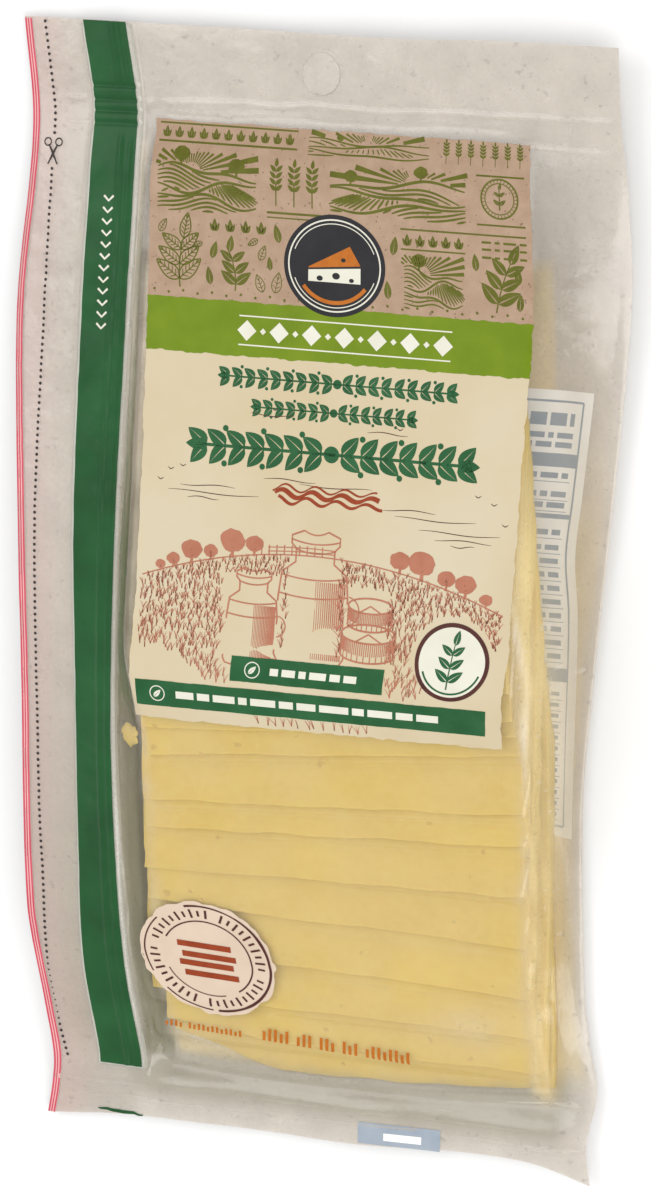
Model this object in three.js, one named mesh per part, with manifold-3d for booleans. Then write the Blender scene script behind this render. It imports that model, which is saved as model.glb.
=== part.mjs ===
// A clear bag of sliced cheese lying on its back: X across the bag, Y towards the hanging end, Z up.
// The bag is one closed body, draped over the fanned slices inside, and the press-to-close strip
// along its left side is a second body. Sizes are millimetres.
import * as THREE from 'three';
import { mergeVertices } from 'three/addons/utils/BufferGeometryUtils.js';
import Module from 'manifold-3d';

// Film and strip
const SHEET = 0.7;              // both webs together where they lie flat on each other
const GAP = 0.3;                // clearance between the strip and the bag
const STRIP_WIDTH = 12.2;
const STRIP_FOOT = -119.5;      // y where the strip ends, short of the lower seal
const FLANGE = 0.5;             // thickness of the strip's flat part
const PEG_HOLE = { x: 1.9, y: 124.2, radius: 5, sides: 28 };
const TOP_SEAL = 115.5;         // y of the seal line under the header
const BOTTOM_SEAL = -124;       // y of the upper line of the lower seal

// Cheese: square slices, bottom one first, each [y of the lower edge, turn in degrees]
const SLICE_THICK = 2.6;
const STACK_MIDDLE = 12;        // x of the slices' middle
const FAN = [
  [-116.4, 1.5], [-109.3, -0.3], [-100, -0.4], [-89, -1.7], [-76.5, -1.4], [-65.6, 1.3],
  [-53.9, 2.4], [-46.4, 3], [-33.5, 4.6], [-27.5, 3], [-22, 2], [-15, 1.5],
];
const FILM_RAMP = 2.2;          // how far the film reaches out over each slice's edge
const TIGHT_FROM = 9;           // from this slice up the film is drawn tight from edge to edge
const DROOP = { from: -10, slope: 0.195, bend: 5 };   // the upper ends of the slices sag

// Edges of the bag and of what is in it, from the foot to the header, joined by smooth curves
const LEFT_EDGE = [             // [y, x, z]
  [-134.5, -72, 2.2], [-126, -69.8, 4], [-117, -68, 7], [-104, -69.7, 8.5], [-79, -72.5, 12],
  [-23, -73.8, 12], [20, -74.9, 11.5], [67, -77, 7], [109, -74.3, 3.5], [135, -77, 2.4],
];
const RIGHT_EDGE = [            // [y, x, z]
  [-135, 72.2, 4.6], [-126, 70.6, 3.2], [-113, 73, 2.6], [-102, 71, 2.4], [-90, 69.5, 2.4],
  [-45, 68.4, 2.6], [-12, 71, 2.8], [28, 75.3, 3.6], [75, 79.5, 4.8], [100, 78.6, 5.8],
  [115, 77, 6.6], [133, 76.6, 8],
];
const STRIP_EDGE = [            // [y, x of its left side, z there, z of its right side]
  [-134.5, -57.5, 2.4, 2.4], [-120, -56, 4, 4.5], [-92, -58.4, 9, 10], [-62, -58.4, 11.5, 14.5],
  [-26, -58.8, 12, 15.5], [17, -59.2, 12, 13], [69, -58.3, 9, 8.4], [113, -57.7, 4.6, 4.8],
  [135, -61.2, 2.8, 3],
];
const STACK_SIDES = [           // [y, x of the left side, x of the right side]
  [-125, -37.5, 60], [-112, -37.5, 60.5], [-100, -38.2, 58.6], [-76, -38.8, 58.6],
  [-54, -38, 60.4], [-34, -36.6, 62.4], [-10, -36.8, 62], [30, -38, 60.8], [83, -40, 59],
  [116, -40.5, 56],
];
const FOOT_EDGE = [[-72, -134.2], [-44, -132], [10, -132.2], [43, -130.9], [58, -131.4], [72.2, -135]];
const HEAD_EDGE = [[-77, 135], [-30, 134.2], [21, 133], [46, 133.4], [76.6, 132.9]];

// The grid that both webs share
const STACK_COLUMNS = 13;       // cells across the slices
const LABEL_ROWS = 13;          // cells up the smooth front, from the top slice's edge to the header
const HEADER_ROWS = 5;
const CENTRE_X = -1.25;         // moves the bag's box onto the origin
const CENTRE_Y = 0;

const clamp = (v, low, high) => Math.min(high, Math.max(low, v));
const mix = (a, b, t) => a + (b - a) * t;
const smooth = (t) => { const c = clamp(t, 0, 1); return c * c * (3 - 2 * c); };
const smoothMin = (a, b, k) => -k * Math.log(Math.exp(-a / k) + Math.exp(-b / k));
const softBend = (d, w) => w * Math.log(1 + Math.exp(d / w));

// Smooth curve through a table's points, read at t from the given column
function through(table, column, t) {
  const last = table.length - 1;
  const at = clamp(t, table[0][0], table[last][0]);
  let i = 0;
  while (i < last - 1 && at > table[i + 1][0]) i += 1;
  const slope = (n) => {
    const a = table[Math.max(0, n - 1)];
    const b = table[Math.min(last, n + 1)];
    return (b[column] - a[column]) / (b[0] - a[0]);
  };
  const span = table[i + 1][0] - table[i][0];
  const s = (at - table[i][0]) / span;
  const [p, q] = [table[i][column], table[i + 1][column]];
  const [m, n] = [slope(i) * span, slope(i + 1) * span];
  return p + s * (m + s * (3 * (q - p) - 2 * m - n + s * (2 * (p - q) + m + n)));
}

// Line of a slice's lower edge, level beyond the slices' sides
function sliceEdge(index, x) {
  const [y, turn] = FAN[index];
  const across = clamp(x, -40, 63) - STACK_MIDDLE;
  const bow = index === 0 ? 2.2 * (across / 50) ** 2 : 0;
  return y + bow + across * Math.tan(THREE.MathUtils.degToRad(turn));
}

// Reach of the film's slope below a slice's edge
const filmRamp = (k, x) => (k < TIGHT_FROM ? FILM_RAMP : sliceEdge(k, x) - sliceEdge(k - 1, x));

const droop = (y) => DROOP.slope * softBend(y - DROOP.from, DROOP.bend);

// Height of the film over the slices, stepping up at each lower edge
function stackTop(x, y) {
  let top = 0.4;
  for (let k = 0; k < FAN.length; k += 1) {
    const part = 1 + (y - sliceEdge(k, x)) / filmRamp(k, x);
    top += SLICE_THICK * (k < TIGHT_FROM ? smooth(part) : clamp(part, 0, 1));
  }
  return top - droop(y);
}

// The same height with the steps smoothed away, for the webs beside the slices
function slopeTop(y) {
  let top = 0.4;
  for (const [edge] of FAN) top += SLICE_THICK * smooth((y - edge + 7) / 14);
  return top - droop(y);
}

// Sheet height of the header and of the lower seal, where both webs lie together
function flatSheet(x, y) {
  const across = (x + 77) / 153;
  const left = through(LEFT_EDGE, 2, y);
  const right = through(RIGHT_EDGE, 2, y);
  const ripple = 0.5 * Math.sin(x / 7.5) * smooth((Math.abs(y) - 105) / 12);
  return mix(left, right, across) + ripple * smooth(across / 0.15) * smooth((1 - across) / 0.12);
}

// 0 on the seals, 1 inside the chamber
const chamber = (y) => smooth((y - BOTTOM_SEAL) / 8) * smooth((TOP_SEAL - y) / 16);

// Places along x, at one height up the bag, where the webs change direction
function section(y) {
  const left = through(STRIP_EDGE, 1, y);
  const rise = through(STRIP_EDGE, 3, y) - through(STRIP_EDGE, 2, y);
  return {
    outerLeft: through(LEFT_EDGE, 1, y),
    stripLeft: left,
    stripRight: left + Math.sqrt(STRIP_WIDTH ** 2 - rise ** 2),
    stackLeft: through(STACK_SIDES, 1, y),
    stackRight: through(STACK_SIDES, 2, y),
    outerRight: through(RIGHT_EDGE, 1, y),
  };
}

// Height of the sheet left of the chamber: the margin, then the strip's slanting seat
function leftSheet(x, y, s) {
  const edge = through(LEFT_EDGE, 2, y);
  const a = through(STRIP_EDGE, 2, y);
  const b = through(STRIP_EDGE, 3, y);
  if (x < s.stripLeft) return mix(edge, a, (x - s.outerLeft) / (s.stripLeft - s.outerLeft));
  return mix(a, b, (x - s.stripLeft) / (s.stripRight - s.stripLeft));
}

function frontWeb(x, y) {
  const s = section(y);
  const flat = flatSheet(x, y) + SHEET / 2;
  const high = slopeTop(y);
  const foot = through(STRIP_EDGE, 3, y) + SHEET / 2;
  let inside;
  if (x <= s.stripRight) {
    inside = leftSheet(x, y, s) + SHEET / 2;
  } else {
    const rising = foot + (high - foot) * (x - s.stripRight) / (s.stackLeft - s.stripRight);
    const edge = through(RIGHT_EDGE, 2, y) + SHEET / 2;
    const falling = edge + (high - edge) * (s.outerRight - x) / (s.outerRight - s.stackRight);
    const tent = smoothMin(Math.max(rising, foot), Math.max(falling, edge), 0.5);
    const over = smoothMin(stackTop(x, y), tent, 0.5);
    const nearFoot = smooth((x - s.stripRight) / 2.5);
    const nearEdge = smooth((s.outerRight - x) / 2);
    inside = mix(edge, mix(foot, over, nearFoot), nearEdge);
  }
  return mix(flat, inside, chamber(y));
}

function backWeb(x, y) {
  const s = section(y);
  const flat = flatSheet(x, y) - SHEET / 2;
  let inside;
  if (x <= s.stripRight) {
    inside = leftSheet(x, y, s) - SHEET / 2;
  } else if (x < s.stackLeft) {
    const foot = through(STRIP_EDGE, 3, y) - SHEET / 2;
    inside = foot * (s.stackLeft - x) / (s.stackLeft - s.stripRight);
  } else {
    const edge = through(RIGHT_EDGE, 2, y) - SHEET / 2;
    inside = edge * smooth((x - s.stackRight) / (s.outerRight - s.stackRight));
  }
  return Math.max(0, mix(flat, inside, chamber(y)));
}

// Rows of the grid: each is a function of x that gives y, following the slices' edges
function gridRows() {
  const foot = (x) => through(FOOT_EDGE, 1, x);
  const head = (x) => through(HEAD_EDGE, 1, x);
  const rows = [];
  for (const part of [0, 0.35, 0.7, 1]) {
    rows.push((x) => mix(foot(x), BOTTOM_SEAL, part));
  }
  rows.push((x) => mix(BOTTOM_SEAL, sliceEdge(0, x) - FILM_RAMP, 0.5));
  for (let k = 0; k < FAN.length; k += 1) {
    if (k < TIGHT_FROM) rows.push((x) => sliceEdge(k, x) - FILM_RAMP);
    rows.push((x) => sliceEdge(k, x) - filmRamp(k, x) / 2);
    rows.push((x) => sliceEdge(k, x));
    if (k + 1 < TIGHT_FROM && FAN[k + 1][0] - FAN[k][0] > 8) {
      rows.push((x) => mix(sliceEdge(k, x), sliceEdge(k + 1, x) - FILM_RAMP, 0.5));
    }
  }
  for (let n = 1; n <= LABEL_ROWS; n += 1) {
    rows.push((x) => mix(sliceEdge(FAN.length - 1, x), TOP_SEAL, n / LABEL_ROWS));
  }
  for (let n = 1; n <= HEADER_ROWS; n += 1) rows.push((x) => mix(TOP_SEAL, head(x), n / HEADER_ROWS));
  return rows;
}

// Columns of the grid at one height up the bag
function gridColumns(y) {
  const s = section(y);
  const xs = [0, 0.12, 0.45, 0.75].map((part) => mix(s.outerLeft, s.stripLeft, part));
  xs.push(s.stripLeft, mix(s.stripLeft, s.stripRight, 0.5), s.stripRight);
  xs.push(mix(s.stripRight, s.stackLeft, 0.35), mix(s.stripRight, s.stackLeft, 0.75));
  for (let n = 0; n <= STACK_COLUMNS; n += 1) {
    const even = n / STACK_COLUMNS;
    xs.push(mix(s.stackLeft, s.stackRight, mix(even, smooth(even), 0.45)));
  }
  for (const part of [0.3, 0.6, 0.85, 1]) xs.push(mix(s.stackRight, s.outerRight, part));
  return xs;
}

// Grid points: a row's y depends on x and a column's x on y, so a few passes settle both
function gridPoints() {
  const rows = gridRows();
  return rows.map((row) => gridColumns(row(0)).map((start, column) => {
    let x = start;
    for (let pass = 0; pass < 4; pass += 1) x = gridColumns(row(x))[column];
    return [x, row(x)];
  }));
}

// Closed body between two webs over the shared grid
function closedBody(points, upper, lower) {
  const tall = points.length;
  const wide = points[0].length;
  const position = [];
  for (const web of [upper, lower]) {
    for (const row of points) for (const [x, y] of row) position.push(x, y, web(x, y));
  }
  const index = [];
  const id = (j, i, side) => side * tall * wide + j * wide + i;
  const quad = (a, b, c, d) => index.push(a, b, c, a, c, d);
  for (let j = 0; j < tall - 1; j += 1) {
    for (let i = 0; i < wide - 1; i += 1) {
      quad(id(j, i, 0), id(j, i + 1, 0), id(j + 1, i + 1, 0), id(j + 1, i, 0));
      quad(id(j, i, 1), id(j + 1, i, 1), id(j + 1, i + 1, 1), id(j, i + 1, 1));
    }
  }
  for (let i = 0; i < wide - 1; i += 1) {
    quad(id(0, i, 1), id(0, i + 1, 1), id(0, i + 1, 0), id(0, i, 0));
    quad(id(tall - 1, i, 0), id(tall - 1, i + 1, 0), id(tall - 1, i + 1, 1), id(tall - 1, i, 1));
  }
  for (let j = 0; j < tall - 1; j += 1) {
    quad(id(j, 0, 0), id(j + 1, 0, 0), id(j + 1, 0, 1), id(j, 0, 1));
    quad(id(j, wide - 1, 1), id(j + 1, wide - 1, 1), id(j + 1, wide - 1, 0), id(j, wide - 1, 0));
  }
  const body = new THREE.BufferGeometry();
  body.setAttribute('position', new THREE.Float32BufferAttribute(position, 3));
  body.setIndex(index);
  return body;
}

const wasm = await Module();
wasm.setup();

function toManifold(geometry) {
  geometry.deleteAttribute('normal');
  geometry.deleteAttribute('uv');
  const merged = mergeVertices(geometry, 1e-5);
  return new wasm.Manifold(new wasm.Mesh({
    numProp: 3,
    vertProperties: new Float32Array(merged.attributes.position.array),
    triVerts: new Uint32Array(merged.index.array),
  }));
}

function fromManifold(solid) {
  const mesh = solid.getMesh();
  const geometry = new THREE.BufferGeometry();
  geometry.setAttribute('position', new THREE.BufferAttribute(mesh.vertProperties, 3));
  geometry.setIndex(new THREE.BufferAttribute(mesh.triVerts, 1));
  return geometry;
}

function pouchGeometry(points) {
  const bag = toManifold(closedBody(points, frontWeb, backWeb));
  const punch = new THREE.CylinderGeometry(PEG_HOLE.radius, PEG_HOLE.radius, 40, PEG_HOLE.sides);
  punch.rotateX(Math.PI / 2);
  punch.translate(PEG_HOLE.x, PEG_HOLE.y, 0);
  return fromManifold(bag.subtract(toManifold(punch)));
}

// Section of the strip, from its left side: [part of the width, height over its seat]
const STRIP_SECTION = [
  [0, 0], [0, FLANGE * 0.6], [0.08, FLANGE], [0.56, FLANGE], [0.6, 1.3], [0.68, 1.3], [0.72, FLANGE],
  [0.78, FLANGE], [0.81, 1], [0.88, 1], [0.91, FLANGE], [0.97, FLANGE], [1, FLANGE * 0.6], [1, 0],
];

// The press-to-close strip, riding on the bag's left margin from the header to short of the seal
function stripGeometry(rows) {
  const stations = rows.map((row) => row(-52)).filter((y) => y > STRIP_FOOT + 1 && y < 134);
  stations.unshift(STRIP_FOOT);
  stations.push(134);
  const ring = STRIP_SECTION.length;
  const position = [];
  for (const y of stations) {
    const s = section(y);
    for (const [part, height] of STRIP_SECTION) {
      const x = mix(s.stripLeft, s.stripRight, part);
      const seat = mix(frontWeb(s.stripLeft, y), frontWeb(s.stripRight, y), part);
      position.push(x, y, seat + GAP + height);
    }
  }
  const index = [];
  for (let j = 0; j < stations.length - 1; j += 1) {
    for (let i = 0; i < ring; i += 1) {
      const [a, b] = [j * ring + i, j * ring + (i + 1) % ring];
      index.push(a, b + ring, a + ring, a, b, b + ring);
    }
  }
  const outline = STRIP_SECTION.map(([part, height]) => new THREE.Vector2(part * STRIP_WIDTH, height));
  const end = (stations.length - 1) * ring;
  for (const [a, b, c] of THREE.ShapeUtils.triangulateShape(outline, [])) {
    index.push(a, b, c, end + a, end + c, end + b);
  }
  const strip = new THREE.BufferGeometry();
  strip.setAttribute('position', new THREE.Float32BufferAttribute(position, 3));
  strip.setIndex(index);
  return strip;
}

function named(name, geometry, colour, roughness) {
  geometry.computeVertexNormals();
  const material = new THREE.MeshStandardMaterial({ color: colour, roughness, metalness: 0 });
  const mesh = new THREE.Mesh(geometry, material);
  mesh.name = name;
  return mesh;
}

const pack = new THREE.Group();
pack.add(named('pouch', pouchGeometry(gridPoints()), 0xf2dd95, 0.3));
pack.add(named('zipper', stripGeometry(gridRows()), 0x2f7040, 0.4));
pack.position.set(CENTRE_X, CENTRE_Y, 0);

export default pack;
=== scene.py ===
"""Looks for a clear resealable bag of sliced cheese that lies on its back.

Shapes are worked out in millimetres in the bag's own frame (X across, Y towards the hanging end, Z up),
the same frame and the same curves that the solids were drawn with, and set down in metres.
"""

import bpy
import numpy as np
from mathutils import Matrix, Vector


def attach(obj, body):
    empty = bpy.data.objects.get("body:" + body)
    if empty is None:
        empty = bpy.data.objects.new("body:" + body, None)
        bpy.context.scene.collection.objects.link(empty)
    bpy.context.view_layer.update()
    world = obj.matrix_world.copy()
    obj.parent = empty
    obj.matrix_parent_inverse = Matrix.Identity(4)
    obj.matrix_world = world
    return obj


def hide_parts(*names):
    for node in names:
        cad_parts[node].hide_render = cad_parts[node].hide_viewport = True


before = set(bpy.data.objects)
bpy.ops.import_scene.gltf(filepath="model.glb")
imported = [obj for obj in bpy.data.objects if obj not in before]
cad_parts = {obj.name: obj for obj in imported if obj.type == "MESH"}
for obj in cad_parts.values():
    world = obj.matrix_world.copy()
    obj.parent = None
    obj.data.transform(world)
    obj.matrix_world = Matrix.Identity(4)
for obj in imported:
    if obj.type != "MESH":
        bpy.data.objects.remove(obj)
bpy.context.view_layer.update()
rng = np.random.default_rng(12)

MM = 0.001
CENTRE_X = -1.25                # sets the bag's box on the frame's origin

# The bag's forms, as in the solids
SHEET = 0.7
STRIP_WIDTH = 12.2
STRIP_FOOT, STRIP_HEAD = -119.5, 134.0
PEG_X, PEG_Y, PEG_RADIUS = 1.9, 124.2, 5.0
TOP_SEAL = 115.5
BOTTOM_SEAL = -124.0
SLICE_THICK = 2.6
STACK_MIDDLE = 12.0
FILM_RAMP = 2.2
TIGHT_FROM = 9                  # from this slice up the film is drawn tight from edge to edge
VEIL_RAMP = 3.6                 # the same reach for the thin film of the looks
LEFT_LEAN, RIGHT_LEAN = 0.15, 0.85  # how much of its lower edge's turn a slice's sides follow
END_THIN = 0.8                  # how much thinner a slice is at its lower edge
LOWEST_BOW = 2.2                # bend of the lowest slice's lower edge, 50 mm from its middle
DROOP_FROM, DROOP_SLOPE, DROOP_BEND = -10.0, 0.195, 5.0
# Each slice, bottom one first: y of its lower edge, turn in degrees, x of that edge's middle
FAN = (
    (-116.4, 1.5, 12.1), (-109.3, -0.3, 11), (-100, -0.4, 8.5), (-89, -1.7, 8.5),
    (-76.5, -1.4, 9.3), (-65.6, 1.3, 9.6), (-53.9, 2.4, 11.2), (-46.4, 3, 12),
    (-33.5, 4.6, 13.6), (-27.5, 3, 13.9), (-22, 2, 14.2), (-15, 1.5, 14.4),
)
LEFT_EDGE = (                   # y, x, z
    (-134.5, -72, 2.2), (-126, -69.8, 4), (-117, -68, 7), (-104, -69.7, 8.5), (-79, -72.5, 12),
    (-23, -73.8, 12), (20, -74.9, 11.5), (67, -77, 7), (109, -74.3, 3.5), (135, -77, 2.4),
)
RIGHT_EDGE = (                  # y, x, z
    (-135, 72.2, 4.6), (-126, 70.6, 3.2), (-113, 73, 2.6), (-102, 71, 2.4), (-90, 69.5, 2.4),
    (-45, 68.4, 2.6), (-12, 71, 2.8), (28, 75.3, 3.6), (75, 79.5, 4.8), (100, 78.6, 5.8),
    (115, 77, 6.6), (133, 76.6, 8),
)
STRIP_EDGE = (                  # y, x of the left side, z there, z of the right side
    (-134.5, -57.5, 2.4, 2.4), (-120, -56, 4, 4.5), (-92, -58.4, 9, 10), (-62, -58.4, 11.5, 14.5),
    (-26, -58.8, 12, 15.5), (17, -59.2, 12, 13), (69, -58.3, 9, 8.4), (113, -57.7, 4.6, 4.8),
    (135, -61.2, 2.8, 3),
)
STACK_SIDES = (                 # y, x of the left side, x of the right side
    (-125, -37.5, 60), (-112, -37.5, 60.5), (-100, -38.2, 58.6), (-76, -38.8, 58.6),
    (-54, -38, 60.4), (-34, -36.6, 62.4), (-10, -36.8, 62), (30, -38, 60.8),
    (83, -40, 59), (116, -40.5, 56),
)
FOOT_EDGE = ((-72, -134.2), (-44, -132), (10, -132.2), (43, -130.9), (58, -131.4), (72.2, -135))
HEAD_EDGE = ((-77, 135), (-30, 134.2), (21, 133), (46, 133.4), (76.6, 132.9))

# The webs of film in the solid bag, and what the looks add
FILM_LAY = 0.2                  # how far the film lies inside the solid's face
SLICE_SIZE = 98.5
SLICE_BODY = 2.5                # thickness of a slice, a little less than their spacing
LABEL_WIDE, LABEL_TALL = 94.0, 138.0
CRUMB_X, CRUMB_Y = -41.4, -33.6
SLICES_RIGHT = (                # y, x that the slices' right sides end at
    (-125, 62.6), (-105, 62.3), (-56, 61.5), (-28, 60.6), (-5, 60.2), (14, 58.6), (42, 56.6),
    (58, 55.6), (112, 52),
)
SIDE_BAND = (                   # y, x of the pale band where the film turns down over the slices, a painted highlight
    (-112, 59.6), (-90, 59.5), (-60, 61), (-45, 62), (-28, 63.2), (-15, 63.9), (-2, 63.5),
    (8, 62.6), (40, 61),
)
BRIGHT_FOLD = ((-40, 60.6), (-25, 62.6), (-14, 63.5), (-7, 63), (1.4, 61.7), (8, 60))  # y, x of the fold where a highlight is painted
LABEL_SIDES = (                 # y, x of the label's left side, x of its right side
    (-28, -36.4, 56.8), (-10, -35.1, 60), (1, -34.7, 60.4), (29, -35.7, 60.1), (49, -36.7, 59.9),
    (73, -38, 59.5), (112, -40.9, 54.6),
)
LABEL_FOOT = (-27.0, -27.6)     # y of the lower corners, left and right
LABEL_HEAD = (112.2, 110.0)
CUT_LINE = (                    # y, x of the dotted line beside the strip
    (-118.5, -64.3), (-104, -66.7), (-93, -67.9), (-75, -68), (-54, -68.8), (10, -69.9),
    (68, -69), (100, -68.4), (112, -68.2), (120, -69.2), (134, -71.3),
)
STAMP_X, STAMP_Y, STAMP_WIDE, STAMP_TALL, STAMP_TURN = -24.6, -88.8, 17.9, 14.2, -12.0
PANEL_RIGHT = ((-52, 65.4), (-29, 65.6), (0, 66), (14, 65), (28, 66.7), (52, 69.7))


def mix(a, b, t):
    return a + (b - a) * t


def smooth(t):
    c = np.clip(t, 0.0, 1.0)
    return c * c * (3 - 2 * c)


def between(v, low, rise, high, fall):
    """1 between two limits, with soft ends of the given lengths inside them."""
    return smooth((v - low) / rise) * smooth((high - v) / fall)


def bell(v, middle, wide):
    """1 at the middle, falling away on both sides."""
    return np.exp(-((v - middle) / wide) ** 2)


def smooth_min(a, b, k):
    return -k * np.logaddexp(-a / k, -b / k)


def through(table, column, t):
    """Smooth curve through a table's points, read at t from the given column."""
    knots = np.array([row[0] for row in table], float)
    values = np.array([row[column] for row in table], float)
    before = np.r_[0, np.arange(len(knots) - 1)]
    after = np.r_[np.arange(1, len(knots)), len(knots) - 1]
    slopes = (values[after] - values[before]) / (knots[after] - knots[before])
    at = np.clip(t, knots[0], knots[-1])
    i = np.clip(np.searchsorted(knots, at, side="right") - 1, 0, len(knots) - 2)
    span = knots[i + 1] - knots[i]
    s = (at - knots[i]) / span
    p, q = values[i], values[i + 1]
    m, n = slopes[i] * span, slopes[i + 1] * span
    return p + s * (m + s * (3 * (q - p) - 2 * m - n + s * (2 * (p - q) + m + n)))


LATTICE = rng.random((64, 64))


def wobble(x, y, size, shift=0):
    """Smooth noise from -1 to 1, its bumps about size apart."""
    u, v = np.asarray(x) / size + 7.3 * shift, np.asarray(y) / size + 3.1 * shift
    i, j = np.floor(u).astype(int), np.floor(v).astype(int)
    fu, fv = smooth(u - i), smooth(v - j)

    def corner(a, b):
        return LATTICE[a % 64, b % 64]

    low = mix(corner(i, j), corner(i + 1, j), fu)
    high = mix(corner(i, j + 1), corner(i + 1, j + 1), fu)
    return 2 * mix(low, high, fv) - 1


def bow(k, across):
    """How far the lowest slice's lower edge bends up beside its middle."""
    return LOWEST_BOW * (across / 50) ** 2 if k == 0 else 0


def slice_edge(k, x):
    """Line of a slice's lower edge, level beyond the slices' sides."""
    y, turn, _ = FAN[k]
    across = np.clip(x, -40, 63) - STACK_MIDDLE
    return y + bow(k, across) + across * np.tan(np.radians(turn))


def droop(y):
    return DROOP_SLOPE * DROOP_BEND * np.logaddexp(0, (y - DROOP_FROM) / DROOP_BEND)


def soft_step(t, bend=0.12):
    """From 0 to 1 along a straight line with rounded ends."""
    return bend * (np.logaddexp(0, t / bend) - np.logaddexp(0, (t - 1) / bend))


def film_ramp(k, x):
    """Reach of the film's slope below a slice's edge."""
    return VEIL_RAMP if k < TIGHT_FROM else slice_edge(k, x) - slice_edge(k - 1, x)


def stack_top(x, y):
    """Height of the film over the slices, stepping up at each lower edge."""
    top = 0.4
    for k in range(len(FAN)):
        part = 1 + (y - slice_edge(k, x)) / film_ramp(k, x)
        top = top + SLICE_THICK * (smooth(part) if k < TIGHT_FROM else soft_step(part))
    return top - droop(y)


def slope_top(y):
    """The same height with the steps smoothed away, for the webs beside the slices."""
    top = 0.4
    for edge, _, _ in FAN:
        top = top + SLICE_THICK * smooth((y - edge + 7) / 14)
    return top - droop(y)


def flat_sheet(x, y):
    """Height of both webs together, in the header and the lower seal."""
    across = (x + 77) / 153
    ripple = 0.5 * np.sin(x / 7.5) * smooth((np.abs(y) - 105) / 12)
    sheet = mix(through(LEFT_EDGE, 2, y), through(RIGHT_EDGE, 2, y), across)
    return sheet + ripple * between(across, 0, 0.15, 1, 0.12)


def chamber(y):
    """0 on the seals, 1 inside the chamber."""
    return between(y, BOTTOM_SEAL, 8, TOP_SEAL, 16)


def section(y):
    """Places along x where the webs change direction: edge, strip, strip, stack, stack, edge."""
    left = through(STRIP_EDGE, 1, y)
    rise = through(STRIP_EDGE, 3, y) - through(STRIP_EDGE, 2, y)
    return np.stack([
        through(LEFT_EDGE, 1, y), left, left + np.sqrt(STRIP_WIDTH ** 2 - rise ** 2),
        through(STACK_SIDES, 1, y), through(STACK_SIDES, 2, y), through(RIGHT_EDGE, 1, y),
    ])


def left_sheet(x, y, s):
    """Height of both webs together left of the chamber: the margin, then the strip's seat."""
    low, high = through(STRIP_EDGE, 2, y), through(STRIP_EDGE, 3, y)
    margin = mix(through(LEFT_EDGE, 2, y), low, (x - s[0]) / (s[1] - s[0]))
    return np.where(x < s[1], margin, mix(low, high, (x - s[1]) / (s[2] - s[1])))


def tight_top(x, y, s):
    """The film's height over the slices, without steps left of them and with faint ones at the stamp."""
    top = mix(slope_top(y), stack_top(x, y), smooth((x - s[3] + 5) / 2.5))
    turn = np.radians(STAMP_TURN)
    across = (x - STAMP_X) * np.cos(turn) + (y - STAMP_Y) * np.sin(turn)
    along = (y - STAMP_Y) * np.cos(turn) - (x - STAMP_X) * np.sin(turn)
    near = smooth((1.35 - np.hypot(across / STAMP_WIDE, along / STAMP_TALL)) / 0.3)
    return mix(top, -smooth_min(-top, -slope_top(y) - 1.0, 0.3), near)


def front_web(x, y):
    """Upper face of the solid bag."""
    s = section(y)
    high = slope_top(y)
    foot = through(STRIP_EDGE, 3, y) + SHEET / 2
    edge = through(RIGHT_EDGE, 2, y) + SHEET / 2
    rising = foot + (high - foot) * (x - s[2]) / (s[3] - s[2])
    falling = edge + (high - edge) * (s[5] - x) / (s[5] - s[4])
    tent = smooth_min(np.maximum(rising, foot), np.maximum(falling, edge), 0.5)
    over = smooth_min(tight_top(x, y, s), tent, 0.5)
    inside = mix(edge, mix(foot, over, smooth((x - s[2]) / 2.5)), smooth((s[5] - x) / 2))
    inside = np.where(x <= s[2], left_sheet(x, y, s) + SHEET / 2, inside)
    return mix(flat_sheet(x, y) + SHEET / 2, inside, chamber(y))


def back_web(x, y):
    """Lower face of the solid bag."""
    s = section(y)
    foot = through(STRIP_EDGE, 3, y) - SHEET / 2
    edge = through(RIGHT_EDGE, 2, y) - SHEET / 2
    ramp = foot * (s[3] - x) / (s[3] - s[2])
    right = edge * smooth((x - s[4]) / (s[5] - s[4]))
    left = left_sheet(x, y, s) - SHEET / 2
    inside = np.where(x <= s[2], left, np.where(x < s[3], ramp, right))
    return np.maximum(0, mix(flat_sheet(x, y) - SHEET / 2, inside, chamber(y)))


# Folds in both webs together: x and y of each end, width, height
SEALED_FOLDS = (
    (-40, 116.6, 77, 116.1, 0.5, 0.28), (50, 109.8, 77, 108.3, 0.45, 0.2),
    (-40, 112.9, 50, 112.4, 0.7, -0.12), (22.9, 133, 22.4, 122.5, 0.5, 0.2),
    (29, 124.5, 30.6, 119.4, 0.6, 0.3), (38.7, 131.7, 38.4, 114, 0.4, 0.12),
    (64, 115.6, 63.8, 107.9, 0.4, 0.14), (13, 128.5, 21, 125, 0.9, 0.2),
    (-30, 131, -12, 127.5, 1.6, 0.15), (48, 128, 60, 121, 1.8, 0.15),
    (-66, 116.5, -59, 116.2, 0.5, 0.25), (-66, 110.4, -45, 110.2, 0.5, 0.15),
    (-45, 116, -41, 115.8, 0.8, 0.35), (-70, -124, 71, -123.4, 0.45, 0.18),
    (-66, -127.6, 68, -127.2, 0.4, 0.12), (-60, -121.2, -20, -120.6, 0.6, 0.14),
    (20, -121.5, 66, -119.4, 0.6, 0.16), (52, -128.6, 72, -127, 0.5, 0.25),
)
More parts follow.
